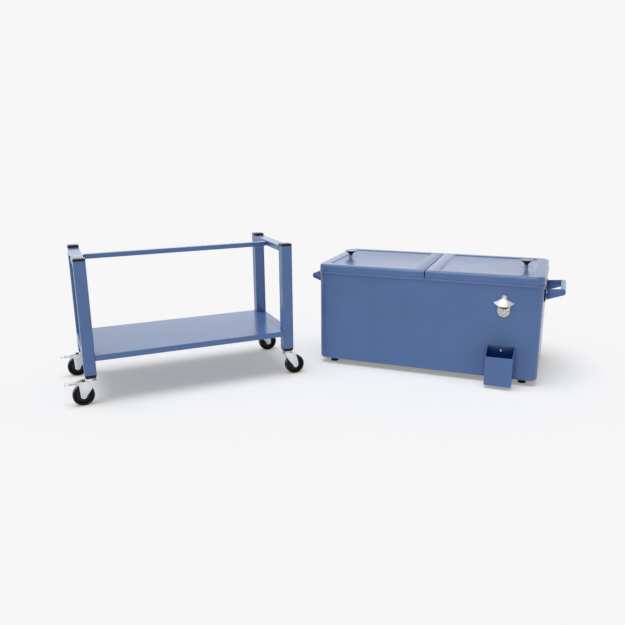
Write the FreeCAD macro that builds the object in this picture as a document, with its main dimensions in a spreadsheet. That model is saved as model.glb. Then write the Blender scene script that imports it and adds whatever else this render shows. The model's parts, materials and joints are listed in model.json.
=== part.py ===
# Patio cooler lifted off its wheeled cart: an insulated steel box with two centre-hinged lids
# stands on the floor beside a four-legged cart with a low shelf and swivel casters.
# Millimetres, +Z up. The box is square to X and Y with its front towards -Y, the cart is turned.
# The origin is on the floor, in the middle of the whole group's outline.
import FreeCAD, Part
import math
import os
import Sketcher

SIZES = [
    # cart frame
    ("cart_length", 728, "over the legs, along the cart"),
    ("cart_width", 344, "over the legs, across the cart"),
    ("leg_side", 38, "square leg tube, outside"),
    ("leg_corner", 4, "outside corner radius of the leg tube"),
    ("tube_wall", 1.5, "wall of every frame tube"),
    ("leg_top", 479, "height of the legs' upper ends"),
    ("cap_height", 8, "head of a leg's top cap"),
    ("cap_bevel", 1.5, "bevel round the cap's top"),
    ("plug_depth", 18, "how far a cap or socket reaches into the tube"),
    ("plug_gap", 0.2, "clearance of a plug in its tube"),
    ("socket_height", 12, "head of the socket under a leg"),
    ("end_rail_height", 20, "tubes across the ends, top and bottom"),
    ("centre_rail_height", 16, "long rail in the middle"),
    ("centre_rail_width", 20, "long rail in the middle"),
    ("centre_rail_drop", 4, "from the end rails' tops down to the long rail's top"),
    ("spacer_length", 6, "bush between the long rail and an end rail"),
    ("spacer_radius", 5, "bush between the long rail and an end rail"),
    ("shelf_bolt_out", 95, "shelf's bolts from the cart's middle"),
    ("bolt_radius", 2.5, "frame bolts"),
    ("bolt_head_radius", 4.5, "frame bolts"),
    ("bolt_head_height", 3, "frame bolts"),
    # shelf
    ("shelf_top", 169, "height of the shelf's surface"),
    ("shelf_flange", 19, "depth of the folded edge"),
    ("shelf_lip", 10, "return under the folded edge"),
    ("shelf_sheet", 1.2, "shelf's sheet"),
    # casters
    ("wheel_radius", 35, "tread"),
    ("wheel_width", 24, "tread"),
    ("wheel_side_gap", 2, "tread to fork"),
    ("wheel_edge", 4, "bevel of the tread"),
    ("hub_radius", 11, "wheel's hub"),
    ("hub_side_gap", 0.5, "hub to fork"),
    ("web_width", 12, "wheel's disc between hub and rim"),
    ("rim_depth", 9, "wheel's rim under the tread"),
    ("caster_trail", 27, "swivel axis to axle"),
    ("fork_sheet", 2.5, "fork's cheeks"),
    ("fork_crown", 8, "fork's crown, top to underside"),
    ("crown_gap", 6, "tread to the crown's underside"),
    ("fork_half_length", 18, "crown, each side of the swivel axis"),
    ("fork_ear", 10, "fork's eye round the axle"),
    ("fork_tail", 7, "braked fork's crown beyond the pedal's pivot"),
    ("fork_flare", 6, "how far a fork's back edge starts out and down from its crown"),
    ("race_radius", 17, "ball race on the crown"),
    ("race_height", 4, "ball race on the crown"),
    ("swivel_gap", 0.3, "between the race and the plate above it"),
    ("stem_plate", 2.7, "plate on the stem, under the leg's socket"),
    ("stem_radius", 5, "swivel stem"),
    ("stem_reach", 15, "stem inside the leg's socket, above the tube's end"),
    ("rivet_radius", 8, "stem's head under the crown"),
    ("rivet_height", 3, "stem's head under the crown"),
    ("axle_radius", 4, "axle bolt"),
    ("axle_head_radius", 7, "axle bolt's hexagon, over the corners"),
    ("axle_head_height", 4.5, "axle bolt's hexagon"),
    ("running_gap", 0.05, "radial clearance of what turns"),
    # brake pedals on the left casters
    ("pedal_pivot_out", 34, "swivel axis to the pedal's pivot"),
    ("pedal_pivot_rise", 2, "pivot above the crown's underside"),
    ("pedal_reach", 88, "swivel axis to the pedal's tip"),
    ("pedal_sheet", 4, "pedal's plate"),
    ("pedal_shoe_gap", 3.6, "brake shoe to tread, brake off"),
    ("pedal_shoe_length", 6, "brake shoe, along the tread"),
    ("pedal_shoe_out", 13, "pivot to the near side of the shoe"),
    ("pedal_hub_radius", 5, "pedal round its pivot"),
    ("pivot_radius", 2.5, "pedal's pivot"),
    # insulated box
    ("box_length", 804, "body, outside"),
    ("box_depth", 396, "body, outside"),
    ("box_corner", 29, "upright corners, outside radius"),
    ("box_base_edge", 8, "edge round the base, outside radius"),
    ("foot_height", 20, "feet under the body"),
    ("foot_radius", 15, "feet under the body"),
    ("foot_edge", 2, "bevel of a foot"),
    ("foot_inset_end", 50, "foot's middle from the body's end"),
    ("foot_inset_side", 44, "foot's middle from the body's front or back"),
    ("shell_height", 333, "outer shell, base to top edge"),
    ("shell_sheet", 1.2, "outer shell's sheet"),
    ("insulation", 26, "foam boards in the walls"),
    ("floor_insulation", 22, "foam board under the liner"),
    ("liner_wall", 2, "inner tub"),
    ("liner_corner", 20, "inner tub's upright corners, inside radius"),
    ("liner_floor_edge", 10, "inner tub's floor edge, inside radius"),
    ("rim_height", 8, "collar that closes the wall's top"),
    ("rim_overhang", 4, "collar beyond the body"),
    ("rim_edge", 3, "collar's rounded outer edges"),
    # lids
    ("lid_height", 27, "skin, lower edge to top"),
    ("lid_overhang", 2, "skin beyond the body"),
    ("lid_split", 3, "gap between the two lids"),
    ("split_bevel", 1.5, "bevel along the lid's top edge at the split"),
    ("lid_seat", 0.6, "skin's lower edge above the collar"),
    ("lid_sheet", 1.2, "skin's sheet"),
    ("lid_edge", 9, "rounding of the top edge"),
    ("panel_sink", 3, "sunk panel in the lid's top"),
    ("panel_corner", 10, "sunk panel's corners"),
    ("panel_margin_side", 34, "panel to the lid's front and back edges"),
    ("panel_margin_end", 42, "panel to the lid's outer end"),
    ("panel_margin_split", 46, "panel to the split"),
    ("lid_liner_gap", 0.2, "lid's inner lining to its skin"),
    ("gasket_width", 8, "seal under the lid"),
    ("gasket_inset", 6, "seal's outer edge inside the lining's edge"),
    # lid hinges
    ("hinge_inset", 6.5, "hinge axis from the middle of the box"),
    ("hinge_drop", 5, "hinge axis below the lid's top"),
    ("hinge_relief", 1.5, "lid's lower edge cut back at the hinge end"),
    ("hinge_pin_radius", 2, "hinge pin"),
    ("knuckle_radius", 3.5, "round head of a hinge post"),
    ("post_thickness", 10, "hinge post, front to back"),
    ("post_inset", 18.8, "hinge post's middle from the opening's wall"),
    ("post_gap", 2, "hinge post to its pocket in the lid"),
    ("pin_reach", 8, "pin in the lid on each side of the post"),
    ("pocket_length", 15, "pocket in the lid, away from the split"),
    ("bar_width", 36, "bar across the opening under the split"),
    ("bar_height", 14, "bar across the opening"),
    ("bar_drop", 1.6, "bar's top below the collar's top"),
    # knobs
    ("knob_inset_left", 63, "left knob's middle from the body's end"),
    ("knob_inset_right", 72, "right knob's middle from the body's end"),
    ("knob_radius", 22, "knob's disc"),
    ("knob_disc", 3, "knob's disc, thickness"),
    ("knob_edge", 0.8, "knob's disc, bevel"),
    ("knob_height", 28, "knob, above the panel"),
    ("knob_foot_radius", 8.5, "knob's foot"),
    ("knob_neck_radius", 6.5, "knob's neck"),
    ("knob_foot_height", 2.5, "knob's foot"),
    ("knob_fillet", 2, "slope from the foot to the neck"),
    ("knob_flare", 16, "height of the cone that opens under the disc"),
    ("knob_waist_radius", 10.5, "cone, halfway up"),
    # handles
    ("handle_width", 166, "over the cheeks"),
    ("handle_reach", 65, "from the pad"),
    ("handle_grip", 24, "grip, across"),
    ("handle_sheet", 2, "handle's sheet"),
    ("handle_drop", 34, "grip's middle below the shell's top edge"),
    ("handle_root_low", 31, "cheek's lower corner at the wall, below the grip's middle"),
    ("handle_root_high", 8, "cheek's upper corner at the wall, above the grip's middle"),
    ("grip_flat", 0.5, "half the flat left between the grip's rounded edges"),
    ("handle_flange", 20, "foot of a cheek, turned outwards"),
    ("handle_flange_corner", 11, "foot's outer corners"),
    ("handle_screw_spread", 22, "between the two screws of a flange"),
    ("pad_thickness", 4, "pad between handle and wall"),
    ("pad_margin", 2, "pad beyond the handle's feet"),
    ("screw_radius", 2, "handle and front screws"),
    ("screw_head_radius", 4.2, "handle and front screws"),
    ("screw_head_height", 2.2, "handle and front screws"),
    ("screw_gap", 0.2, "hole round a screw"),
    # bottle opener and cap catcher on the front
    ("opener_inset", 125, "middle of the opener from the body's right end"),
    ("opener_drop", 31, "opener's upper end below the shell's top edge"),
    ("opener_height", 78, "opener, top to bottom"),
    ("opener_width", 69, "over the wings"),
    ("opener_neck", 17, "wings begin below the opener's top"),
    ("wing_slope", 12, "wing's upper edge, root to tip"),
    ("wing_return", 9, "wing's lower edge, tip to shield"),
    ("opener_tab", 20, "round tab at the top, width"),
    ("opener_shield", 42, "round-ended lower plate, width"),
    ("opener_sheet", 2, "opener's plate"),
    ("hood_width", 50, "opener's hood"),
    ("hood_height", 22, "opener's hood"),
    ("hood_reach", 14, "opener's hood, from the wall"),
    ("opener_screw_top", 10, "upper screw below the opener's top"),
    ("opener_screw_low", 62, "lower screw below the opener's top"),
    ("catcher_width", 91, "cap catcher, outside"),
    ("catcher_depth", 62, "cap catcher, outside"),
    ("catcher_base", 12, "height of the catcher's floor"),
    ("catcher_front", 115, "height of the catcher's front edge"),
    ("catcher_back", 140, "height of the catcher's back edge"),
    ("catcher_corner", 2.5, "catcher's upright edges"),
    ("catcher_screw", 122, "height of the catcher's screw"),
    # drain in the back wall
    ("drain_inset", 102, "drain from the body's right end"),
    ("drain_rise", 14, "drain's middle above the tub's floor"),
    ("drain_bore", 8, "drain's passage, radius"),
    ("drain_wall", 2, "spout's wall"),
    ("drain_flange_radius", 16, "spout's flange"),
    ("drain_flange", 3, "spout's flange, thickness"),
    ("drain_reach", 9, "spout beyond the back wall"),
    ("plug_length", 16, "plug inside the spout"),
    ("plug_head_radius", 12, "plug's head"),
    ("plug_head", 7, "plug's head, thickness"),
    ("drain_plug_gap", 0.3, "plug to spout"),
    # where the cart stands
    ("cart_turn", 44.4, "cart's long axis from the box's, in degrees"),
    ("stand_off_end", 38, "cart's nearest corner to the box's left end"),
    ("stand_off_front", 160, "cart's nearest corner to the box's front"),
]


class Size:
    """A number with the sheet formula that gives it, so that sums and shares keep both."""

    def __init__(self, value, formula):
        self.value = float(value)
        self.formula = formula

    @staticmethod
    def of(other):
        return other if isinstance(other, Size) else Size(other, f"{float(other)}")

    def __add__(self, other):
        other = Size.of(other)
        return Size(self.value + other.value, f"({self.formula} + {other.formula})")

    def __sub__(self, other):
        other = Size.of(other)
        return Size(self.value - other.value, f"({self.formula} - {other.formula})")

    def __mul__(self, other):
        other = Size.of(other)
        return Size(self.value * other.value, f"({self.formula} * {other.formula})")

    def __truediv__(self, other):
        other = Size.of(other)
        return Size(self.value / other.value, f"({self.formula} / {other.formula})")

    def __neg__(self):
        return Size.of(0) - self


doc = FreeCAD.newDocument("PatioCooler")
sheet = doc.addObject("Spreadsheet::Sheet", "Sizes")
size = {}
for row, (alias, value, meaning) in enumerate(SIZES, start=1):
    sheet.set(f"A{row}", meaning)
    sheet.set(f"B{row}", str(value))
    sheet.setAlias(f"B{row}", alias)
    size[alias] = Size(value, f"Sizes.{alias}")
doc.recompute()

ZERO = Size.of(0)
kept = []          # sub-parts to write, in order
UPRIGHT = FreeCAD.Vector(0, 0, 1)


# ---- how features are made and bound to the sheet ----

def bind(feature, prop, amount):
    """Gives a property its number now and its formula for later."""
    feature.setExpression(prop, Size.of(amount).formula)


def move(x, y, z, turn=0.0):
    """A placement turned about Z, in degrees, at x, y, z."""
    x, y, z = (Size.of(number).value for number in (x, y, z))
    return FreeCAD.Placement(FreeCAD.Vector(x, y, z), FreeCAD.Rotation(UPRIGHT, turn))


def keep(feature, label, place):
    feature.Label = label
    feature.Placement = place
    kept.append(feature)


def set_at(feature, x, y, z, rotation=None):
    x, y, z = Size.of(x), Size.of(y), Size.of(z)
    base = FreeCAD.Vector(x.value, y.value, z.value)
    feature.Placement = FreeCAD.Placement(base, rotation or FreeCAD.Rotation())
    bind(feature, "Placement.Base.x", x)
    bind(feature, "Placement.Base.y", y)
    bind(feature, "Placement.Base.z", z)


def block(x_low, x_high, y_low, y_high, z_low, z_high):
    solid = doc.addObject("Part::Box", "block")
    bind(solid, "Length", Size.of(x_high) - x_low)
    bind(solid, "Width", Size.of(y_high) - y_low)
    bind(solid, "Height", Size.of(z_high) - z_low)
    set_at(solid, x_low, y_low, z_low)
    return solid


TURN_TO = {
    "+X": FreeCAD.Rotation(FreeCAD.Vector(0, 1, 0), 90),
    "-X": FreeCAD.Rotation(FreeCAD.Vector(0, 1, 0), -90),
    "+Y": FreeCAD.Rotation(FreeCAD.Vector(1, 0, 0), -90),
    "-Y": FreeCAD.Rotation(FreeCAD.Vector(1, 0, 0), 90),
    "+Z": FreeCAD.Rotation(),
    "-Z": FreeCAD.Rotation(FreeCAD.Vector(1, 0, 0), 180),
}


def rod(radius, length, x, y, z, towards="+Z"):
    solid = doc.addObject("Part::Cylinder", "rod")
    bind(solid, "Radius", radius)
    bind(solid, "Height", length)
    set_at(solid, x, y, z, TURN_TO[towards])
    return solid


def hexagon(radius, length, x, y, z, towards):
    solid = doc.addObject("Part::Prism", "hexagon")
    solid.Polygon = 6
    bind(solid, "Circumradius", radius)
    bind(solid, "Height", length)
    set_at(solid, x, y, z, TURN_TO[towards])
    return solid


def join(name, solids):
    whole = doc.addObject("Part::MultiFuse", name)
    whole.Shapes = solids
    return whole


def group(name, solids):
    """Separate solids that share one node."""
    whole = doc.addObject("Part::Compound", name)
    whole.Links = solids
    return whole


def common(name, first, second):
    """What two solids share."""
    whole = doc.addObject("Part::MultiCommon", name)
    whole.Shapes = [first, second]
    return whole


def cut(name, solid, tools):
    result = doc.addObject("Part::Cut", name)
    result.Base = solid
    result.Tool = tools[0] if len(tools) == 1 else join(name + "_tools", tools)
    return result


def screw(x, y, z, grip, towards, radius="screw_radius", head="screw_head"):
    """A round-head screw: the head's seat is at x, y, z and the shank runs the given way."""
    opposite = {"+": "-", "-": "+"}[towards[0]] + towards[1]
    shank = rod(size[radius], grip, x, y, z, towards)
    cap = rod(size[head + "_radius"], size[head + "_height"], x, y, z, opposite)
    return join("screw", [shank, cap])


def start_sketch(body, plane, height=ZERO):
    """A sketch on one of the body's own origin planes, height along that plane's normal."""
    sketch = body.newObject("Sketcher::SketchObject", "sketch")
    origin = [item for item in body.Origin.OriginFeatures if item.Role == plane][0]
    sketch.AttachmentSupport = [(origin, "")]
    sketch.MapMode = "FlatFace"
    bind(sketch, "AttachmentOffset.Base.z", height)
    return sketch


def pin_down(sketch, kind, line, end, amount):
    """Sets one coordinate of a line's end from the sketch's origin."""
    amount = Size.of(amount)
    number = sketch.addConstraint(Sketcher.Constraint(kind, -1, 1, line, end, amount.value))
    sketch.setExpression(f"Constraints[{number}]", amount.formula)


def outline(sketch, corners):
    """A closed outline of straight lines through the corners."""
    corners = [(Size.of(x), Size.of(y)) for x, y in corners]
    points = [FreeCAD.Vector(x.value, y.value, 0) for x, y in corners]
    first = sketch.GeometryCount
    count = len(corners)
    for step in range(count):
        sketch.addGeometry(Part.LineSegment(points[step], points[(step + 1) % count]))
    for step in range(count):
        following = first + (step + 1) % count
        sketch.addConstraint(Sketcher.Constraint("Coincident", first + step, 2, following, 1))
    for step, (x, y) in enumerate(corners):
        pin_down(sketch, "DistanceX", first + step, 1, x)
        pin_down(sketch, "DistanceY", first + step, 1, y)
    return sketch


def rectangle(sketch, x_low, x_high, y_low, y_high, radii=(None, None, None, None)):
    """A rectangle whose corners, from the low one anticlockwise, may each have a radius."""
    x_low, x_high, y_low, y_high = (Size.of(edge) for edge in (x_low, x_high, y_low, y_high))
    corners = [(x_low, y_low), (x_high, y_low), (x_high, y_high), (x_low, y_high)]
    ways = [(1, 0), (0, 1), (-1, 0), (0, -1)]
    trims = [radius.value if radius else 0.0 for radius in radii]
    first = sketch.GeometryCount
    for side in range(4):
        (ax, ay), (bx, by) = corners[side], corners[(side + 1) % 4]
        way = FreeCAD.Vector(*ways[side], 0)
        start = FreeCAD.Vector(ax.value, ay.value, 0) + way * trims[side]
        end = FreeCAD.Vector(bx.value, by.value, 0) - way * trims[(side + 1) % 4]
        sketch.addGeometry(Part.LineSegment(start, end))
        direction = "Vertical" if side % 2 else "Horizontal"
        sketch.addConstraint(Sketcher.Constraint(direction, first + side))
        kind, amount = ("DistanceX", ax) if side % 2 else ("DistanceY", ay)
        pin_down(sketch, kind, first + side, 1, amount)
    for side, radius in enumerate(radii):
        before = first + (side - 1) % 4
        after = first + side
        if radius is None:
            sketch.addConstraint(Sketcher.Constraint("Coincident", before, 2, after, 1))
            continue
        inward = FreeCAD.Vector(*ways[side], 0) + FreeCAD.Vector(*ways[(side + 1) % 4], 0)
        middle = FreeCAD.Vector(corners[side][0].value, corners[side][1].value, 0) + inward * trims[side]
        begin = math.radians(180 + 90 * side)
        circle = Part.Circle(middle, UPRIGHT, trims[side])
        arc = sketch.addGeometry(Part.ArcOfCircle(circle, begin, begin + math.pi / 2))
        sketch.addConstraint(Sketcher.Constraint("Tangent", before, 2, arc, 1))
        sketch.addConstraint(Sketcher.Constraint("Tangent", arc, 2, after, 1))
        number = sketch.addConstraint(Sketcher.Constraint("Radius", arc, radius.value))
        sketch.setExpression(f"Constraints[{number}]", radius.formula)
    return sketch


def circle(sketch, x, y, radius):
    x, y, radius = Size.of(x), Size.of(y), Size.of(radius)
    middle = FreeCAD.Vector(x.value, y.value, 0)
    ring = sketch.addGeometry(Part.Circle(middle, UPRIGHT, radius.value))
    number = sketch.addConstraint(Sketcher.Constraint("Radius", ring, radius.value))
    sketch.setExpression(f"Constraints[{number}]", radius.formula)
    pin_down(sketch, "DistanceX", ring, 3, x)
    pin_down(sketch, "DistanceY", ring, 3, y)
    return sketch


def new_body(name):
    return doc.addObject("PartDesign::Body", name + "_body")


def pad(body, sketch, length, both_ways=False, reverse=False):
    feature = body.newObject("PartDesign::Pad", "pad")
    feature.Profile = sketch
    feature.SideType = "Symmetric" if both_ways else "One side"
    feature.Reversed = reverse
    bind(feature, "Length", length)
    doc.recompute()
    return feature


def pocket(body, sketch, depth=None, both_ways=False, reverse=False):
    """Cuts a sketch out of the body, through all of it where no depth is given."""
    before = body.Shape.Volume
    feature = body.newObject("PartDesign::Pocket", "pocket")
    feature.Profile = sketch
    feature.SideType = "Symmetric" if both_ways else "One side"
    feature.Reversed = reverse
    if depth is None:
        feature.Type = "ThroughAll"
    else:
        bind(feature, "Length", depth)
    doc.recompute()
    if body.Shape.Volume >= before - 1e-6:
        raise RuntimeError(f"a pocket in {body.Name} cuts nothing")
    return feature


def revolve(body, sketch):
    """A full turn of the sketch about its upright axis."""
    feature = body.newObject("PartDesign::Revolution", "revolution")
    feature.Profile = sketch
    feature.ReferenceAxis = (sketch, ["V_Axis"])
    feature.Angle = 360
    doc.recompute()
    return feature


def soften(body, feature, amount, chosen, kind="Fillet"):
    """Rounds or bevels the edges of the feature for which chosen(edge) is true."""
    names = [f"Edge{number}" for number, edge in enumerate(feature.Shape.Edges, start=1) if chosen(edge)]
    rounded = body.newObject("PartDesign::" + kind, kind.lower())
    rounded.Base = (feature, names)
    bind(rounded, "Radius" if kind == "Fillet" else "Size", amount)
    doc.recompute()
    return rounded


def flat_at(height):
    """Chooses the edges that lie at one height."""
    level = Size.of(height).value
    return lambda edge: abs(edge.BoundBox.ZMin - level) < 1e-4 and abs(edge.BoundBox.ZMax - level) < 1e-4


def upright(edge):
    box = edge.BoundBox
    return box.ZLength > 1e-3 and box.XLength < 1e-4 and box.YLength < 1e-4


# ---- derived places, in the cart's own frame or the box's own frame ----

half_cart = size["cart_length"] / 2
half_cart_width = size["cart_width"] / 2
half_leg = size["leg_side"] / 2
leg_out = half_cart - half_leg                # leg's middle from the cart's middle, along
leg_side_out = half_cart_width - half_leg     # and across
fork_gap = size["wheel_width"] + size["wheel_side_gap"] * 2
fork_width = fork_gap + size["fork_sheet"] * 2
crown_under = size["wheel_radius"] * 2 + size["crown_gap"]
fork_top = crown_under + size["fork_crown"]
race_top = fork_top + size["race_height"]
pedal_height = crown_under + size["pedal_pivot_rise"]
socket_low = race_top + size["swivel_gap"] + size["stem_plate"]
leg_foot = socket_low + size["socket_height"]
end_rail_low = size["leg_top"] - size["end_rail_height"]
centre_rail_top = size["leg_top"] - size["centre_rail_drop"]
centre_rail_low = centre_rail_top - size["centre_rail_height"]
rail_end = half_cart - size["leg_side"]       # inner face of the end rails and legs
long_rail_end = rail_end - size["spacer_length"]
long_rail_middle = (centre_rail_low + centre_rail_top) / 2

half_box = size["box_length"] / 2
half_depth = size["box_depth"] / 2
shell_low = size["foot_height"]
shell_top = shell_low + size["shell_height"]
rim_top = shell_top + size["rim_height"]
tub_low = shell_low + size["shell_sheet"] + size["floor_insulation"]
tub_floor = tub_low + size["liner_wall"]
tub_wall = size["shell_sheet"] + size["insulation"]
opening_wall = tub_wall + size["liner_wall"]
lid_low = rim_top + size["lid_seat"]
lid_top = lid_low + size["lid_height"]
hinge_height = lid_top - size["hinge_drop"]
post_out = half_depth - opening_wall - size["post_inset"]
half_split = size["lid_split"] / 2
lid_end = half_box + size["lid_overhang"]
lid_side = half_depth + size["lid_overhang"]
lid_corner = size["box_corner"] + size["lid_overhang"]
bar_top = rim_top - size["bar_drop"]
panel_floor = lid_top - size["panel_sink"]
screw_hole = size["screw_radius"] + size["screw_gap"]
drain_x = half_box - size["drain_inset"]
drain_height = tub_floor + size["drain_rise"]
opener_x = half_box - size["opener_inset"]
opener_top = shell_top - size["opener_drop"]
opener_screws = [opener_top - size[drop] for drop in ("opener_screw_top", "opener_screw_low")]
grip_height = shell_top - size["handle_drop"]
handle_root = half_box + size["pad_thickness"]
handle_screw_y = size["handle_width"] / 2 + size["handle_flange"] / 2
handle_root_middle = grip_height + (size["handle_root_high"] - size["handle_root_low"]) / 2
handle_screw_heights = [handle_root_middle + size["handle_screw_spread"] / 2 * sign for sign in (-1, 1)]

turn = size["cart_turn"].value
corner_x = -half_box - size["stand_off_end"]
corner_y = -half_depth - size["stand_off_front"]
spin = FreeCAD.Rotation(UPRIGHT, turn)
reach = spin.multVec(FreeCAD.Vector(half_cart.value, -half_cart_width.value, 0))
cart_at = move(corner_x.value - reach.x, corner_y.value - reach.y, 0, turn)
box_at = move(0, 0, 0)

# the legs' names with their signs along and across the cart
CORNERS = [("front_left", -1, -1), ("front_right", 1, -1), ("back_left", -1, 1), ("back_right", 1, 1)]
ENDS = [("left", -1), ("right", 1)]


def leg_place(along, across):
    """The cart's frame moved to a leg's middle, on the floor."""
    return cart_at * move(leg_out * along, leg_side_out * across, 0)


# ---- cart frame ----

def leg(name, place):
    body = new_body(name)
    square = rectangle(start_sketch(body, "XY_Plane", leg_foot), -half_leg, half_leg,
                       -half_leg, half_leg, [size["leg_corner"]] * 4)
    pad(body, square, size["leg_top"] - leg_foot)
    inside = half_leg - size["tube_wall"]
    hollow = rectangle(start_sketch(body, "XY_Plane", leg_foot), -inside, inside, -inside, inside,
                       [size["leg_corner"] - size["tube_wall"]] * 4)
    pocket(body, hollow, reverse=True)
    keep(body, name, place)


def plug_outline(sketch):
    """The square that slides into a leg tube."""
    half = half_leg - size["tube_wall"] - size["plug_gap"]
    return rectangle(sketch, -half, half, -half, half, [size["leg_corner"] - size["tube_wall"]] * 4)


def leg_cap():
    """A leg's top cap: a square head over a plug."""
    body = new_body("cap")
    head = rectangle(start_sketch(body, "XY_Plane", size["leg_top"]), -half_leg, half_leg,
                     -half_leg, half_leg, [size["leg_corner"]] * 4)
    head_pad = pad(body, head, size["cap_height"])
    soften(body, head_pad, size["cap_bevel"], flat_at(size["leg_top"] + size["cap_height"]), "Chamfer")
    plug = plug_outline(start_sketch(body, "XY_Plane", size["leg_top"]))
    pad(body, plug, size["plug_depth"], reverse=True)
    return body


def leg_caps():
    caps = []
    for _, along, across in CORNERS:
        cap = leg_cap()
        set_at(cap, leg_out * along, leg_side_out * across, 0)
        caps.append(cap)
    keep(group("leg_caps_group", caps), "leg_caps", cart_at)


def leg_socket(name, place):
    """The plug under a leg that takes the caster's stem."""
    body = new_body(name)
    head = rectangle(start_sketch(body, "XY_Plane", socket_low), -half_leg, half_leg,
                     -half_leg, half_leg, [size["leg_corner"]] * 4)
    pad(body, head, size["socket_height"])
    plug = plug_outline(start_sketch(body, "XY_Plane", leg_foot))
    pad(body, plug, size["plug_depth"])
    bore = circle(start_sketch(body, "XY_Plane", socket_low), 0, 0, size["stem_radius"])
    pocket(body, bore, size["socket_height"] + size["stem_reach"], reverse=True)
    keep(body, name, place)


def cross_tube(name, low, height, place, bolt_height=None):
    """A rectangular tube across one end, between the legs, bored for the long rail's bolt."""
    body = new_body(name)
    half_run = half_cart_width - size["leg_side"]
    wall = size["tube_wall"]
    section = rectangle(start_sketch(body, "XZ_Plane"), -half_leg, half_leg, low, low + height,
                        [wall * 1.5] * 4)
    pad(body, section, half_run * 2, both_ways=True)
    hollow = rectangle(start_sketch(body, "XZ_Plane"), -half_leg + wall, half_leg - wall,
                       low + wall, low + height - wall)
    pocket(body, hollow, both_ways=True)
    if bolt_height:
        bore = circle(start_sketch(body, "YZ_Plane"), 0, bolt_height, size["bolt_radius"])
        pocket(body, bore, both_ways=True)
    keep(body, name, place)


def end_rails():
    for end, sign in ENDS:
        place = cart_at * move(leg_out * sign, 0, 0)
        cross_tube(f"top_rail_{end}", end_rail_low, size["end_rail_height"], place, long_rail_middle)
        low = size["shelf_top"] - size["end_rail_height"]
        cross_tube(f"bottom_rail_{end}", low, size["end_rail_height"], place)


def centre_rail():
    """The long rail: a tube closed at both ends by plates that the bolts screw into."""
    body = new_body("centre_rail")
    half = size["centre_rail_width"] / 2
    wall = size["tube_wall"]
    section = rectangle(start_sketch(body, "YZ_Plane"), -half, half, centre_rail_low, centre_rail_top,
                        [wall * 1.5] * 4)
    pad(body, section, long_rail_end * 2, both_ways=True)
    hollow = rectangle(start_sketch(body, "YZ_Plane"), -half + wall, half - wall,
                       centre_rail_low + wall, centre_rail_top - wall)
    pocket(body, hollow, (long_rail_end - wall) * 2, both_ways=True)
    bore = circle(start_sketch(body, "YZ_Plane"), 0, long_rail_middle, size["bolt_radius"])
    pocket(body, bore, both_ways=True)
    keep(body, "centre_rail", cart_at)


def rail_spacers():
    """A bush on the bolt between each end rail and the long rail."""
    bushes = []
    for _, sign in ENDS:
        start = (long_rail_end if sign > 0 else -rail_end)
        length = size["spacer_length"]
        bush = rod(size["spacer_radius"], length, start, 0, long_rail_middle, "+X")
        bore = rod(size["bolt_radius"], length, start, 0, long_rail_middle, "+X")
        bushes.append(cut("bush", bush, [bore]))
    keep(group("rail_spacers_group", bushes), "rail_spacers", cart_at)


def cart_bolts():
    """Bolts through the end rails and bushes into the long rail, and from the shelf's ends into the rails."""
    bolts = []
    for _, sign in ENDS:
        outwards, inwards = ("+X", "-X") if sign > 0 else ("-X", "+X")
        grip = size["leg_side"] + size["spacer_length"] + size["tube_wall"]
        bolts.append(screw(half_cart * sign, 0, long_rail_middle, grip, inwards, "bolt_radius", "bolt_head"))
        for across in (-1, 1):
            inner = (rail_end - size["shelf_sheet"]) * sign
            side = size["shelf_bolt_out"] * across
            bolts.append(screw(inner, side, shelf_bolt_height(), size["shelf_sheet"], outwards,
                               "bolt_radius", "bolt_head"))
    keep(group("cart_bolts_group", bolts), "cart_bolts", cart_at)


def shelf_bolt_height():
    return size["shelf_top"] - size["shelf_flange"] / 2


def shelf():
    """A sheet tray with its edges folded down and a lip turned in below."""
    body = new_body("shelf")
    sheet_metal = size["shelf_sheet"]
    low = size["shelf_top"] - size["shelf_flange"]
    tray = rectangle(start_sketch(body, "XY_Plane", low), -rail_end, rail_end,
                     -half_cart_width, half_cart_width)
    block_pad = pad(body, tray, size["shelf_flange"])
    soften(body, block_pad, sheet_metal * 1.5, lambda edge: flat_at(size["shelf_top"])(edge)
           and edge.BoundBox.XLength > edge.BoundBox.YLength)
    side = half_cart_width - sheet_metal
    end = rail_end - sheet_metal
    room = rectangle(start_sketch(body, "XY_Plane", low + sheet_metal), -end, end, -side, side)
    pocket(body, room, size["shelf_flange"] - sheet_metal * 2, reverse=True)
    mouth_end = rail_end - size["shelf_lip"]
    mouth_side = half_cart_width - size["shelf_lip"]
    mouth = rectangle(start_sketch(body, "XY_Plane", low), -mouth_end, mouth_end, -mouth_side, mouth_side)
    pocket(body, mouth, sheet_metal, reverse=True)
    holes = circle(start_sketch(body, "YZ_Plane"), size["shelf_bolt_out"], shelf_bolt_height(),
                   size["bolt_radius"])
    circle(holes, -size["shelf_bolt_out"], shelf_bolt_height(), size["bolt_radius"])
    pocket(body, holes, both_ways=True)
    keep(body, "shelf", cart_at)


# ---- casters: swivel axis at x = y = 0, wheel trailing towards +X ----

def caster_stem(name, place):
    """Stem from the rivet head under the fork up into the leg's socket, with the upper race plate."""
    body = new_body(name)
    plate_low = race_top + size["swivel_gap"]
    head_top = crown_under - size["swivel_gap"]
    shank = size["stem_radius"]
    profile = outline(start_sketch(body, "XZ_Plane"), [
        (0, head_top - size["rivet_height"]), (size["rivet_radius"], head_top - size["rivet_height"]),
        (size["rivet_radius"], head_top), (shank, head_top), (shank, plate_low),
        (size["race_radius"], plate_low), (size["race_radius"], socket_low), (shank, socket_low),
        (shank, leg_foot + size["stem_reach"]), (0, leg_foot + size["stem_reach"])])
    revolve(body, profile)
    keep(body, name, place)


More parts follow.
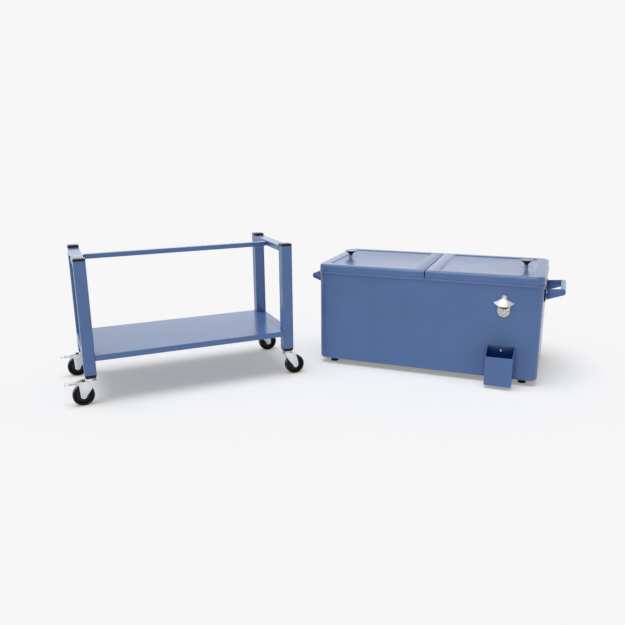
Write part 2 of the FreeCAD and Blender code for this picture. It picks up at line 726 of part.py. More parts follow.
def caster_fork(name, place, braked):
    """Crown, two cheeks down to the axle, and the lower race on top."""
    body = new_body(name)
    trail = size["caster_trail"]
    ear = size["fork_ear"]
    half = size["fork_half_length"]
    axle = size["wheel_radius"]
    flare = size["fork_flare"]
    rear = size["pedal_pivot_out"] + size["fork_tail"] if braked else half + flare
    cheek = outline(start_sketch(body, "XZ_Plane"), [
        (-half, crown_under), (trail - ear, axle), (trail + ear, axle), (rear, crown_under - flare),
        (rear, fork_top), (-half, fork_top)])
    pad(body, cheek, fork_width, both_ways=True)
    eye = circle(start_sketch(body, "XZ_Plane"), trail, axle, ear)
    pad(body, eye, fork_width, both_ways=True)
    slot = rectangle(start_sketch(body, "YZ_Plane"), -fork_gap / 2, fork_gap / 2, ZERO, crown_under)
    pocket(body, slot, both_ways=True)
    if braked:
        room = rectangle(start_sketch(body, "YZ_Plane", half), -fork_gap / 2, fork_gap / 2,
                         ZERO, fork_top * 2)
        pocket(body, room, reverse=True)
    race = circle(start_sketch(body, "XY_Plane", fork_top), 0, 0, size["race_radius"])
    pad(body, race, size["race_height"])
    bore = circle(start_sketch(body, "XY_Plane"), 0, 0, size["stem_radius"] + size["running_gap"])
    pocket(body, bore, reverse=True)
    cross = circle(start_sketch(body, "XZ_Plane"), trail, axle, size["axle_radius"])
    if braked:
        circle(cross, size["pedal_pivot_out"], pedal_height,
               size["pivot_radius"] + size["running_gap"])
    pocket(body, cross, both_ways=True)
    keep(body, name, place)


def caster_axle(name, place):
    half = fork_width / 2
    head = size["axle_head_height"]
    height = size["wheel_radius"]
    trail = size["caster_trail"]
    bolt = join(name + "_bolt", [
        rod(size["axle_radius"], fork_width, trail, -half, height, "+Y"),
        hexagon(size["axle_head_radius"], head, trail, -half, height, "-Y"),
        hexagon(size["axle_head_radius"], head, trail, half, height, "+Y")])
    keep(bolt, name, place)


def caster_wheel(name, place):
    """A wheel turned about its own Z, with a hub, a thin disc and a bevelled tread."""
    body = new_body(name)
    outer = size["wheel_radius"]
    tread = size["wheel_width"] / 2
    bevel = size["wheel_edge"]
    rim = outer - size["rim_depth"]
    hub = fork_gap / 2 - size["hub_side_gap"]
    web = size["web_width"] / 2
    bore = size["axle_radius"] + size["running_gap"]
    one_side = [(bore, hub), (size["hub_radius"], hub), (size["hub_radius"], web), (rim, web),
                (rim, tread), (outer - bevel, tread), (outer, tread - bevel)]
    other_side = [(radius, -out) for radius, out in reversed(one_side)]
    revolve(body, outline(start_sketch(body, "XZ_Plane"), one_side + other_side))
    on_axle = FreeCAD.Placement(FreeCAD.Vector(size["caster_trail"].value, 0, outer.value), TURN_TO["+Y"])
    keep(body, name, place * on_axle)


def brake_pedal(name, place):
    """A pedal over the wheel: pivot, plate out past the tread, and a shoe above the tread."""
    body = new_body(name)
    pivot = size["pedal_pivot_out"]
    height = pedal_height
    hub = size["pedal_hub_radius"]
    thick = size["pedal_sheet"]
    top = height + thick / 2
    under = height - thick / 2
    shoe = pivot + size["pedal_shoe_out"]
    # the tread's height below the shoe's near edge, from the wheel's circle
    away = (shoe - size["caster_trail"]).value
    tread = math.sqrt((size["wheel_radius"].value + size["pedal_shoe_gap"].value) ** 2 - away ** 2)
    shoe_low = size["wheel_radius"].value + tread
    tip = size["pedal_reach"]
    profile = outline(start_sketch(body, "XZ_Plane"), [
        (pivot - hub, under), (pivot, height - hub), (pivot + hub, under), (shoe, under), (shoe, shoe_low),
        (shoe + size["pedal_shoe_length"], shoe_low), (shoe + size["pedal_shoe_length"], under),
        (tip, under), (tip, top), (pivot, top + thick / 4), (pivot - hub, top)])
    pad(body, profile, fork_gap - size["hub_side_gap"] * 2, both_ways=True)
    pin = circle(start_sketch(body, "XZ_Plane"), pivot, height, size["pivot_radius"])
    pad(body, pin, fork_width + size["wheel_side_gap"], both_ways=True)
    keep(body, name, place)


def casters():
    for corner, along, across in CORNERS:
        place = leg_place(along, across) * move(0, 0, 0, 0.0 if along > 0 else 180.0)
        braked = along < 0
        caster_stem(f"caster_stem_{corner}", place)
        caster_fork(f"caster_fork_{corner}", place, braked)
        caster_axle(f"caster_axle_{corner}", place)
        caster_wheel(f"caster_wheel_{corner}", place)
        if braked:
            brake_pedal(f"brake_pedal_{corner}", place)


# ---- insulated box ----

def box_outline(sketch, inset, radius):
    """The body's plan, drawn in by the inset, with its corners rounded."""
    return rectangle(sketch, -half_box + inset, half_box - inset, -half_depth + inset, half_depth - inset,
                     [radius] * 4)


def tub_block(inset, corner, low, base_edge):
    """A solid up to the shell's top with rounded corners and a rounded base."""
    body = new_body("tub")
    plan = box_outline(start_sketch(body, "XY_Plane", low), inset, corner)
    whole = pad(body, plan, shell_top - low)
    if base_edge:
        soften(body, whole, base_edge, flat_at(low))
    return body


def drain_hole():
    """The spout's way through the back wall."""
    return rod(drain_outer(), half_depth, drain_x, 0, drain_height, "+Y")


def drain_outer():
    return size["drain_bore"] + size["drain_wall"]


def shell_holes():
    """Screw holes in the ends for the handles and in the front for the opener and the catcher."""
    holes = [drain_hole()]
    for height in opener_screws + [size["catcher_screw"]]:
        holes.append(rod(screw_hole, half_depth, opener_x, 0, height, "-Y"))
    for side in (-1, 1):
        for height in handle_screw_heights:
            holes.append(rod(screw_hole, size["box_length"], -half_box, handle_screw_y * side, height, "+X"))
    return holes


def foam_outside():
    """What fills the outer shell: the foam's outer face is the shell's inner face."""
    wall = size["shell_sheet"]
    return tub_block(wall, size["box_corner"] - wall, shell_low + wall, size["box_base_edge"] - wall)


def tub_outside():
    return tub_block(tub_wall, size["liner_corner"] + size["liner_wall"], tub_low,
                     size["liner_floor_edge"] + size["liner_wall"])


def wall_layers():
    """Outer shell and inner tub, with foam boards between them."""
    whole = tub_block(ZERO, size["box_corner"], shell_low, size["box_base_edge"])
    cavity = tub_block(opening_wall, size["liner_corner"], tub_floor, size["liner_floor_edge"])
    keep(cut("outer_shell_cut", whole, [foam_outside()] + shell_holes()), "outer_shell", box_at)
    keep(cut("liner_cut", tub_outside(), [cavity, drain_hole()]), "liner", box_at)


def wall_blocks(inset, low, high):
    """Four blocks round the box, outside the inset: front and back over the full length, ends between."""
    x_in = half_box - inset
    y_in = half_depth - inset
    x_out = half_box + size["rim_overhang"]
    y_out = half_depth + size["rim_overhang"]
    return [block(-x_out, x_out, -y_out, -y_in, low, high), block(-x_out, x_out, y_in, y_out, low, high),
            block(-x_out, -x_in, -y_in, y_in, low, high), block(x_in, x_out, -y_in, y_in, low, high)]


def insulation():
    """A base board and four wall boards that fill the shell, square where they meet the tub."""
    base = block(-half_box, half_box, -half_depth, half_depth, ZERO, tub_low)
    boards = [common("board", foam_outside(), base)]
    for wall in wall_blocks(tub_wall, tub_low, shell_top):
        boards.append(common("board", foam_outside(), wall))
    boards[2] = cut("board_with_drain", boards[2], [drain_hole()])
    keep(group("insulation_group", boards), "insulation", box_at)


def collar_block():
    """The collar's outside, filled."""
    body = new_body("collar")
    over = size["rim_overhang"]
    plan = box_outline(start_sketch(body, "XY_Plane", shell_top), -over, size["box_corner"] + over)
    whole = pad(body, plan, size["rim_height"])
    soften(body, whole, size["rim_edge"], lambda edge: flat_at(rim_top)(edge) or flat_at(shell_top)(edge))
    return body


def rim_collar():
    """Four strips that close the wall's top, butted at the inner corners."""
    strips = [common("strip", collar_block(), wall) for wall in wall_blocks(opening_wall, shell_top, rim_top)]
    keep(group("rim_collar_group", strips), "rim_collar", box_at)


def box_feet():
    feet = []
    for x_sign in (-1, 1):
        for y_sign in (-1, 1):
            body = new_body("foot")
            radius = size["foot_radius"]
            bevel = size["foot_edge"]
            revolve(body, outline(start_sketch(body, "XZ_Plane"), [
                (0, 0), (radius - bevel, 0), (radius, bevel), (radius, size["foot_height"]),
                (0, size["foot_height"])]))
            x = (half_box - size["foot_inset_end"]) * x_sign
            y = (half_depth - size["foot_inset_side"]) * y_sign
            set_at(body, x, y, 0)
            feet.append(body)
    keep(group("box_feet_group", feet), "box_feet", box_at)


def handle(name, place):
    """Two tapered cheeks with a rounded grip between their ends, and round-cornered feet turned outwards."""
    body = new_body(name)
    middle = grip_height
    reach_out = size["handle_reach"]
    half_grip = size["handle_grip"] / 2
    thick = size["handle_sheet"]
    half = size["handle_width"] / 2
    root_low = middle - size["handle_root_low"]
    root_high = middle + size["handle_root_high"]
    side = outline(start_sketch(body, "XZ_Plane"), [
        (ZERO, root_low), (reach_out - half_grip, middle - half_grip), (reach_out, middle - half_grip),
        (reach_out, middle + half_grip), (reach_out - half_grip, middle + half_grip), (ZERO, root_high)])
    cheeks = pad(body, side, size["handle_width"], both_ways=True)
    soften(body, cheeks, half_grip - size["grip_flat"], lambda edge: edge.BoundBox.YLength > half.value
           and abs(edge.BoundBox.XMin - reach_out.value) < 1e-3)
    window = rectangle(start_sketch(body, "XY_Plane"), ZERO, reach_out - half_grip * 2,
                       -half + thick, half - thick)
    pocket(body, window, both_ways=True)
    channel = rectangle(start_sketch(body, "XY_Plane"), reach_out - half_grip * 2 + thick,
                        reach_out - thick * 2, -half + thick, half - thick)
    pocket(body, channel, middle + half_grip - thick * 2, reverse=True)
    feet = start_sketch(body, "YZ_Plane")
    near = half - thick
    far = half + size["handle_flange"]
    corner = size["handle_flange_corner"]
    rectangle(feet, near, far, root_low, root_high, [None, corner, corner, None])
    rectangle(feet, -far, -near, root_low, root_high, [corner, None, None, corner])
    pad(body, feet, thick)
    holes = start_sketch(body, "YZ_Plane")
    for sign in (-1, 1):
        for height in handle_screw_heights:
            circle(holes, handle_screw_y * sign, height, screw_hole)
    pocket(body, holes, both_ways=True)
    keep(body, name, place)


def handle_pads():
    """A thin black pad behind each handle."""
    pads = []
    half = size["handle_width"] / 2 + size["handle_flange"] + size["pad_margin"]
    low = grip_height - size["handle_root_low"] - size["pad_margin"]
    high = grip_height + size["handle_root_high"] + size["pad_margin"]
    for _, sign in ENDS:
        x_low, x_high = (half_box, handle_root) if sign > 0 else (-handle_root, -half_box)
        holes = [rod(screw_hole, size["pad_thickness"], x_low, handle_screw_y * side, height, "+X")
                 for side in (-1, 1) for height in handle_screw_heights]
        pads.append(cut("pad_with_holes", block(x_low, x_high, -half, half, low, high), holes))
    keep(group("handle_pads_group", pads), "handle_pads", box_at)


def handle_screws():
    screws = []
    grip = size["handle_sheet"] + size["pad_thickness"] + size["shell_sheet"]
    for _, sign in ENDS:
        for side in (-1, 1):
            for height in handle_screw_heights:
                seat = (handle_root + size["handle_sheet"]) * sign
                screws.append(screw(seat, handle_screw_y * side, height, grip, "-X" if sign > 0 else "+X"))
    keep(group("handle_screws_group", screws), "handle_screws", box_at)


def bottle_opener():
    """A plate with a round tab, pointed wings and a round-ended shield, and a hood that catches a cap."""
    body = new_body("bottle_opener")
    x = opener_x
    top = opener_top
    low = top - size["opener_height"]
    tab = size["opener_tab"] / 2
    wing = size["opener_width"] / 2
    shield = size["opener_shield"] / 2
    neck = top - size["opener_neck"]
    tip = neck - size["wing_slope"]
    right = [(tab, top - tab), (tab, neck), (wing, tip), (shield, tip - size["wing_return"]),
             (shield, low + shield)]
    left = [(-across, height) for across, height in reversed(right)]
    face = outline(start_sketch(body, "XZ_Plane", half_depth),
                   [(x + across, height) for across, height in right + left])
    pad(body, face, size["opener_sheet"])
    for radius, height in ((tab, top - tab), (shield, low + shield)):
        disc = circle(start_sketch(body, "XZ_Plane", half_depth), x, height, radius)
        pad(body, disc, size["opener_sheet"])
    front = -half_depth
    back = front - size["opener_sheet"]
    lip = front - size["hood_reach"]
    hood_low = neck - size["hood_height"]
    section = outline(start_sketch(body, "YZ_Plane", x), [
        (back, neck), (lip, hood_low + size["opener_sheet"]), (lip, hood_low),
        (lip + size["opener_sheet"], hood_low), (back, neck - size["opener_sheet"] * 2)])
    pad(body, section, size["hood_width"], both_ways=True)
    holes = start_sketch(body, "XZ_Plane", half_depth)
    for height in opener_screws:
        circle(holes, x, height, screw_hole)
    pocket(body, holes, size["hood_reach"], reverse=True)
    keep(body, "bottle_opener", box_at)


def cap_catcher():
    """An open-topped pocket whose mouth slopes down to the front."""
    body = new_body("cap_catcher")
    x = opener_x
    wall = size["shell_sheet"]
    back = -half_depth
    front = back - size["catcher_depth"]
    base = size["catcher_base"]
    side = outline(start_sketch(body, "YZ_Plane", x), [
        (back, base), (back, size["catcher_back"]), (front, size["catcher_front"]), (front, base)])
    whole = pad(body, side, size["catcher_width"], both_ways=True)
    soften(body, whole, size["catcher_corner"], lambda edge: upright(edge)
           and abs(edge.BoundBox.YMin - front.value) < 1e-3)
    half = size["catcher_width"] / 2 - wall
    room = rectangle(start_sketch(body, "XY_Plane", base + wall), x - half, x + half,
                     front + wall, back - wall)
    pocket(body, room, reverse=True)
    hole = circle(start_sketch(body, "XZ_Plane", half_depth), x, size["catcher_screw"], screw_hole)
    pocket(body, hole, wall, reverse=True)
    keep(body, "cap_catcher", box_at)


def front_screws():
    screws = []
    x = opener_x
    for height in opener_screws:
        grip = size["opener_sheet"] + size["shell_sheet"]
        screws.append(screw(x, -half_depth - size["opener_sheet"], height, grip, "+Y"))
    screws.append(screw(x, -half_depth - size["shell_sheet"], size["catcher_screw"], size["shell_sheet"] * 2,
                        "+Y"))
    keep(group("front_screws_group", screws), "front_screws", box_at)


def centre_bar():
    """The bar across the opening under the lids' split, with two forked hinge posts on it."""
    half = size["bar_width"] / 2
    span = half_depth - opening_wall
    solids = [block(-half, half, -span, span, bar_top - size["bar_height"], bar_top)]
    holes = []
    thick = size["post_thickness"]
    knuckle = size["knuckle_radius"]
    for y_sign in (-1, 1):
        y_low = post_out * y_sign - thick / 2
        y_high = y_low + thick
        for x_sign in (-1, 1):
            axis = size["hinge_inset"] * x_sign
            solids.append(block(axis - knuckle, axis + knuckle, y_low, y_high, bar_top - 1, hinge_height))
            solids.append(rod(knuckle, thick, axis, y_low, hinge_height, "+Y"))
            holes.append(rod(size["hinge_pin_radius"], thick, axis, y_low, hinge_height, "+Y"))
    keep(cut("centre_bar_cut", join("centre_bar_solids", solids), holes), "centre_bar", box_at)


def hinge_pins():
    pins = []
    length = size["post_thickness"] + (size["post_gap"] + size["pin_reach"]) * 2
    for y_sign in (-1, 1):
        y_low = post_out * y_sign - length / 2
        for x_sign in (-1, 1):
            axis = size["hinge_inset"] * x_sign
            pins.append(rod(size["hinge_pin_radius"], length, axis, y_low, hinge_height, "+Y"))
    keep(group("hinge_pins_group", pins), "hinge_pins", box_at)


def drain_spout():
    """A tube through the back wall with a flange outside."""
    x = drain_x
    inner = half_depth - opening_wall
    tube = rod(drain_outer(), half_depth + size["drain_reach"] - inner, x, inner, drain_height, "+Y")
    flange = rod(size["drain_flange_radius"], size["drain_flange"], x, half_depth, drain_height, "+Y")
    bore = rod(size["drain_bore"], size["box_depth"], x, 0, drain_height, "+Y")
    keep(cut("drain_spout_cut", join("drain_spout_solids", [tube, flange]), [bore]), "drain_spout", box_at)


def drain_plug():
    x = drain_x
    mouth = half_depth + size["drain_reach"]
    radius = size["drain_bore"] - size["drain_plug_gap"]
    shank = rod(radius, size["plug_length"], x, mouth, drain_height, "-Y")
    head = rod(size["plug_head_radius"], size["plug_head"], x, mouth, drain_height, "+Y")
    keep(join("drain_plug_solids", [shank, head]), "drain_plug", box_at)


# ---- lids, each in the frame of the right-hand one, the left one turned half round ----

def lid_post_pockets(body, low, high):
    """Room for the hinge posts in the lid's split end."""
    pockets = start_sketch(body, "XY_Plane", low)
    half = size["post_thickness"] / 2 + size["post_gap"]
    for sign in (-1, 1):
        middle = post_out * sign
        rectangle(pockets, ZERO, size["pocket_length"], middle - half, middle + half)
    pocket(body, pockets, high - low, reverse=True)


def lid_skin(name, place):
    """A sheet lid with a sunk panel, open below."""
    body = new_body(name)
    wall = size["lid_sheet"]
    plan = rectangle(start_sketch(body, "XY_Plane", lid_low), half_split, lid_end, -lid_side, lid_side,
                     [None, lid_corner, lid_corner, None])
    whole = pad(body, plan, size["lid_height"])
    soften(body, whole, size["lid_edge"], lambda edge: flat_at(lid_top)(edge)
           and edge.BoundBox.XMax > half_split.value + 1)
    inner_corner = lid_corner - wall
    room = rectangle(start_sketch(body, "XY_Plane", lid_low), half_split + wall, lid_end - wall,
                     -lid_side + wall, lid_side - wall, [None, inner_corner, inner_corner, None])
    pocket(body, room, size["lid_height"] - size["lid_edge"], reverse=True)
    crown_end = lid_end - size["lid_edge"]
    crown_side = lid_side - size["lid_edge"]
    crown_corner = lid_corner - size["lid_edge"]
    crown = rectangle(start_sketch(body, "XY_Plane", lid_low), half_split + wall, crown_end,
                      -crown_side, crown_side, [None, crown_corner, crown_corner, None])
    pocket(body, crown, size["lid_height"] - wall, reverse=True)
    floor_low = panel_floor - wall
    dish = panel_outline(start_sketch(body, "XY_Plane", floor_low), wall)
    pad(body, dish, lid_top - floor_low)
    sunk = panel_outline(start_sketch(body, "XY_Plane", lid_top), ZERO)
    pocket(body, sunk, size["panel_sink"])
    relief_end = size["hinge_inset"] + size["hinge_relief"]
    relief = rectangle(start_sketch(body, "XY_Plane", lid_low), ZERO, relief_end, -lid_side, lid_side)
    pocket(body, relief, size["hinge_relief"], reverse=True)
    lid_post_pockets(body, lid_low, lid_top - wall)
    bevel = size["split_bevel"]
    corner = outline(start_sketch(body, "XZ_Plane"), [
        (half_split, lid_top - bevel), (half_split + bevel, lid_top), (half_split, lid_top)])
    pocket(body, corner, both_ways=True)
    keep(body, name, place)


def panel_outline(sketch, grow):
    corner = size["panel_corner"] + grow
    side = lid_side - size["panel_margin_side"] + grow
    return rectangle(sketch, half_split + size["panel_margin_split"] - grow,
                     lid_end - size["panel_margin_end"] + grow, -side, side, [corner] * 4)


def lining_edge():
    """The lining's edge, measured in from the skin's outside."""
    return size["lid_sheet"] + size["lid_liner_gap"]


def lid_liner(name, place):
    """The foam-filled lining under the skin, with a rib along the split that holds the hinge pins."""
    body = new_body(name)
    edge = lining_edge()
    corner = lid_corner - edge
    low = lid_low + size["hinge_relief"]
    main = rectangle(start_sketch(body, "XY_Plane", low), half_split + edge, lid_end - edge,
                     -lid_side + edge, lid_side - edge, [None, corner, corner, None])
    full_height = panel_floor - size["lid_sheet"] - size["lid_liner_gap"]
    level = lid_top - size["lid_edge"] - size["lid_liner_gap"]
    pad(body, main, Size.of(level) - low)
    rib_side = lid_side - size["lid_edge"] - edge
    upper = rectangle(start_sketch(body, "XY_Plane", level), half_split + edge,
                      lid_end - size["lid_edge"] - edge - size["box_corner"], -rib_side, rib_side)
    pad(body, upper, full_height - level)
    rib = rectangle(start_sketch(body, "XY_Plane", full_height), half_split + edge,
                    half_split + size["panel_margin_split"] - edge * 2, -rib_side, rib_side)
    pad(body, rib, lid_top - lining_edge() - full_height)
    lid_post_pockets(body, low, lid_top)
    bores = circle(start_sketch(body, "XZ_Plane"), size["hinge_inset"], hinge_height,
                   size["hinge_pin_radius"] + size["running_gap"])
    length = post_out * 2 + size["post_thickness"] + (size["post_gap"] + size["pin_reach"]) * 2
    pocket(body, bores, length, both_ways=True)
    keep(body, name, place)


def lid_gasket(name, place):
    """A flat seal under the lining that rests on the collar, open at the split."""
    body = new_body(name)
    outer = lining_edge() + size["gasket_inset"]
    inner = outer + size["gasket_width"]
    low = rim_top
    outer_corner = lid_corner - outer
    inner_corner = lid_corner - inner
    start = half_split + size["hinge_inset"] + size["hinge_relief"]
    plan = rectangle(start_sketch(body, "XY_Plane", low), start, lid_end - outer,
                     -lid_side + outer, lid_side - outer, [None, outer_corner, outer_corner, None])
    pad(body, plan, lid_low + size["hinge_relief"] - low)
    middle = rectangle(start_sketch(body, "XY_Plane", low), ZERO, lid_end - inner,
                       -lid_side + inner, lid_side - inner, [None, inner_corner, inner_corner, None])
    pocket(body, middle, reverse=True)
    keep(body, name, place)


def lid_knob(name, place):
    """A turned knob: foot, slim neck, a trumpet opening upwards, and a thin disc."""
    body = new_body(name)
    low = panel_floor
    top = low + size["knob_height"]
    under = top - size["knob_disc"]
    foot = low + size["knob_foot_height"]
    bevel = size["knob_edge"]
    flare = size["knob_flare"]
    neck = size["knob_neck_radius"]
    profile = outline(start_sketch(body, "XZ_Plane"), [
        (0, low), (size["knob_foot_radius"], low), (size["knob_foot_radius"], foot),
        (neck, foot + size["knob_fillet"]), (neck, under - flare),
        (size["knob_waist_radius"], under - flare / 2),
        (size["knob_radius"] - bevel, under), (size["knob_radius"], under + bevel),
        (size["knob_radius"], top - bevel), (size["knob_radius"] - bevel, top), (0, top)])
    revolve(body, profile)
    keep(body, name, place)


def lids():
    for side, sign in ENDS:
        place = box_at * move(0, 0, 0, 0.0 if sign > 0 else 180.0)
        lid_skin(f"lid_skin_{side}", place)
        lid_liner(f"lid_liner_{side}", place)
        lid_gasket(f"lid_gasket_{side}", place)
        lid_knob(f"lid_knob_{side}", place * move(half_box - size[f"knob_inset_{side}"], 0, 0))


# ---- the whole ----

def build():
    for corner, along, across in CORNERS:
        leg(f"leg_{corner}", leg_place(along, across))
        leg_socket(f"leg_socket_{corner}", leg_place(along, across))
    leg_caps()
    end_rails()
    centre_rail()
    rail_spacers()
    shelf()
    cart_bolts()
    casters()
    wall_layers()
    insulation()
    rim_collar()
    box_feet()
    for side, sign in ENDS:
        handle(f"handle_{side}", move(handle_root * sign, 0, 0, 0.0 if sign > 0 else 180.0))
    handle_pads()
    handle_screws()
    bottle_opener()
    cap_catcher()
    front_screws()
    centre_bar()
    hinge_pins()
    drain_spout()
    drain_plug()
    lids()
    doc.recompute()


def centre_on_origin():
    """Moves every sub-part so that the group's outline is centred on the origin; gives the move."""
    whole = FreeCAD.BoundBox()
    for feature in kept:
        whole.add(feature.Shape.BoundBox)
    shift = FreeCAD.Vector(-whole.Center.x, -whole.Center.y, 0)
    for feature in kept:
        feature.Placement = FreeCAD.Placement(shift, FreeCAD.Rotation()) * feature.Placement
    doc.recompute()
    return shift


def check():
    faults = [item.Label for item in doc.Objects if {"Invalid", "Error"} & set(item.State)]
    for feature in kept:
        if feature.Shape.isNull() or not feature.Shape.isValid() or not feature.Shape.Solids:
            faults.append(feature.Label + " (shape)")
    if faults:
        raise RuntimeError("failed: " + ", ".join(faults))


def joint_points(shift):
    """Where the joints' axes pass, after the move."""
    points = {}
    for corner, along, across in CORNERS:
        place = leg_place(along, across) * move(0, 0, 0, 0.0 if along > 0 else 180.0)
        points[f"swivel_{corner}"] = place.Base
        points[f"axle_{corner}"] = place.multVec(
            FreeCAD.Vector(size["caster_trail"].value, 0, size["wheel_radius"].value))
        points[f"pedal_{corner}"] = place.multVec(
            FreeCAD.Vector(size["pedal_pivot_out"].value, 0, pedal_height.value))
    for side, sign in ENDS:
        points[f"lid_{side}"] = FreeCAD.Vector(size["hinge_inset"].value * sign, 0, hinge_height.value)
    points["drain"] = FreeCAD.Vector(drain_x.value, half_depth.value, drain_height.value)
    points["box_middle"] = FreeCAD.Vector(0, 0, 0)
    points["cart_middle"] = cart_at.Base
    return {name: point + shift for name, point in points.items()}


def write():
    os.makedirs("parts", exist_ok=True)
    for feature in kept:
        feature.Shape.exportStep(f"parts/{feature.Label}.step")


build()
moved_by = centre_on_origin()
check()
points = joint_points(moved_by)
for name, point in points.items():
    print(f"{name}: {point.x:.4f} {point.y:.4f} {point.z:.4f}")
write()
print(f"{len(kept)} sub-parts written")
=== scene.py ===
# A patio cooler lifted off its wheeled cart, in powder-coated blue steel.
# Lengths are metres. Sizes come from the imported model; finer shapes and looks are made here.
import bmesh
import bpy
import json
import math
import numpy as np
from mathutils import Matrix, Vector


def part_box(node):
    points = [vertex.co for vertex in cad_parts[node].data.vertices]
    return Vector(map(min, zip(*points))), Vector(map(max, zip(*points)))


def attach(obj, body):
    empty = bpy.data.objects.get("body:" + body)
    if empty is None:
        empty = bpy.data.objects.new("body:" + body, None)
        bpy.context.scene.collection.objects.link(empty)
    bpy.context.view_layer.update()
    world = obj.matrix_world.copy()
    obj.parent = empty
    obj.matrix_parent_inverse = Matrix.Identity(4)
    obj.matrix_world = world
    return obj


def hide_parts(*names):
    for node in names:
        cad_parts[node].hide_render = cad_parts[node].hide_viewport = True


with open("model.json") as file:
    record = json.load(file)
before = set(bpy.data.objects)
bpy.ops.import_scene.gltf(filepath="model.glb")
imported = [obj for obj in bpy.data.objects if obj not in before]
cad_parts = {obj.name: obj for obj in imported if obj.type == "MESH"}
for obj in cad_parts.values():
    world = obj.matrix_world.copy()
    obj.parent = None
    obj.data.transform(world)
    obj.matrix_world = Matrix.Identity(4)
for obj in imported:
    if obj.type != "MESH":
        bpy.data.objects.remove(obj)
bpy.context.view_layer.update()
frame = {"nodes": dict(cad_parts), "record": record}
nodes = frame["nodes"]
scene = bpy.context.scene
print("frame loaded with", len(nodes), "nodes")


# ---- materials ----

def linear(red, green, blue):
    # screen colour 0-255 to the shader's linear colour
    share = np.array([red, green, blue]) / 255
    low = share / 12.92
    high = ((share + 0.055) / 1.055) ** 2.4
    return tuple(np.where(share <= 0.04045, low, high)) + (1.0,)


class Shader:
    # a material with its Principled node and short ways to wire it
    def __init__(self, name):
        self.material = bpy.data.materials.new(name)
        self.material.use_nodes = True
        self.tree = self.material.node_tree
        self.surface = self.tree.nodes["Principled BSDF"]
        self.place = self.node("ShaderNodeTexCoord").outputs["Object"]

    def node(self, kind, **settings):
        made = self.tree.nodes.new(kind)
        for key, value in settings.items():
            setattr(made, key, value)
        return made

    def wire(self, source, target):
        self.tree.links.new(source, target)

    def put(self, **values):
        for key, value in values.items():
            self.surface.inputs[key.replace("_", " ")].default_value = value

    def noise(self, scale, detail=3.0, rough=0.55, stretch=None):
        made = self.node("ShaderNodeTexNoise")
        made.inputs["Scale"].default_value = scale
        made.inputs["Detail"].default_value = detail
        made.inputs["Roughness"].default_value = rough
        source = self.place
        if stretch:
            mapping = self.node("ShaderNodeMapping")
            mapping.inputs["Scale"].default_value = stretch
            self.wire(self.place, mapping.inputs["Vector"])
            source = mapping.outputs["Vector"]
        self.wire(source, made.inputs["Vector"])
        return made.outputs["Fac"]

    def ramp(self, source, stops):
        # stops are (place, grey or colour)
        made = self.node("ShaderNodeValToRGB")
        while len(made.color_ramp.elements) < len(stops):
            made.color_ramp.elements.new(0.5)
        for element, (place, colour) in zip(made.color_ramp.elements, stops):
            element.position = place
            element.color = (colour,) * 3 + (1,) if np.isscalar(colour) else colour
        self.wire(source, made.inputs["Fac"])
        return made.outputs["Color"]

    def bump(self, source, strength, distance):
        made = self.node("ShaderNodeBump")
        made.inputs["Strength"].default_value = strength
        made.inputs["Distance"].default_value = distance
        self.wire(source, made.inputs["Height"])
        self.wire(made.outputs["Normal"], self.surface.inputs["Normal"])


paintLook = {
    "deep": linear(81, 115, 170),
    "light": linear(85, 120, 176),
    "creviceShadeColour": (0.10, 0.30, 0.50, 1),
    "creviceShadeReach": 0.03,
    "pocketShadeReach": 0.09,
    "peelScale": 260.0,
    "peelDepth": 0.00002,
    "roughLow": 0.19,
    "roughHigh": 0.25,
}


def makePaint(name, reach, own, darkestShadeAt, shadeEndsAt):
    # semi-gloss powder coat: faint cloudy colour, orange peel, a slightly uneven gloss, and painted shade that
    #     darkens the colour in narrow places where other faces are close; reach is how far a face looks for
    #     neighbours, own limits that to its own piece, and the last two are the openness where the painted
    #     shade is darkest and where it ends
    coat = Shader(name)
    cloud = coat.ramp(coat.noise(7.0, 2.0), [(0.35, paintLook["deep"]), (0.65, paintLook["light"])])
    narrow = coat.node("ShaderNodeAmbientOcclusion", samples=8, only_local=own)
    narrow.inputs["Distance"].default_value = reach
    # painted shade: the cloudy colour is multiplied darker where the occlusion finds close faces
    shadedCloud = coat.node("ShaderNodeVectorMath", operation="MULTIPLY")
    shade = coat.ramp(narrow.outputs["AO"], [(darkestShadeAt, paintLook["creviceShadeColour"]), (shadeEndsAt, 1.0)])
    coat.wire(cloud, shadedCloud.inputs[0])
    coat.wire(shade, shadedCloud.inputs[1])
    coat.wire(shadedCloud.outputs["Vector"], coat.surface.inputs["Base Color"])
    gloss = coat.noise(38.0, 4.0)
    coat.wire(coat.ramp(gloss, [(0.3, paintLook["roughLow"]), (0.7, paintLook["roughHigh"])]),
              coat.surface.inputs["Roughness"])
    coat.bump(coat.noise(paintLook["peelScale"], 1.5), 0.3, paintLook["peelDepth"])
    coat.put(IOR=1.5)
    return coat.material


def makePlastic(name, dark, light, rough, grain, ior=1.5):
    # moulded plastic: fine grain in the surface, two close tones
    body = Shader(name)
    body.wire(body.ramp(body.noise(24.0), [(0.35, dark), (0.65, light)]), body.surface.inputs["Base Color"])
    body.wire(body.ramp(body.noise(90.0), [(0.3, rough - 0.06), (0.7, rough + 0.06)]),
              body.surface.inputs["Roughness"])
    body.bump(body.noise(grain, 2.0), 0.25, 0.00006)
    body.put(IOR=ior)
    return body.material


def makeMetal(name, dark, light, rough, stretch=(1, 1, 1)):
    # bare or plated metal: cloudy tone, fine drawn scratches along one way
    body = Shader(name)
    body.put(Metallic=1.0)
    body.wire(body.ramp(body.noise(30.0), [(0.3, dark), (0.7, light)]), body.surface.inputs["Base Color"])
    scratch = body.noise(160.0, 4.0, 0.6, stretch)
    gloss = body.ramp(scratch, [(0.3, rough - 0.05), (0.7, rough + 0.07)])
    body.wire(gloss, body.surface.inputs["Roughness"])
    body.bump(scratch, 0.12, 0.00004)
    return body.material


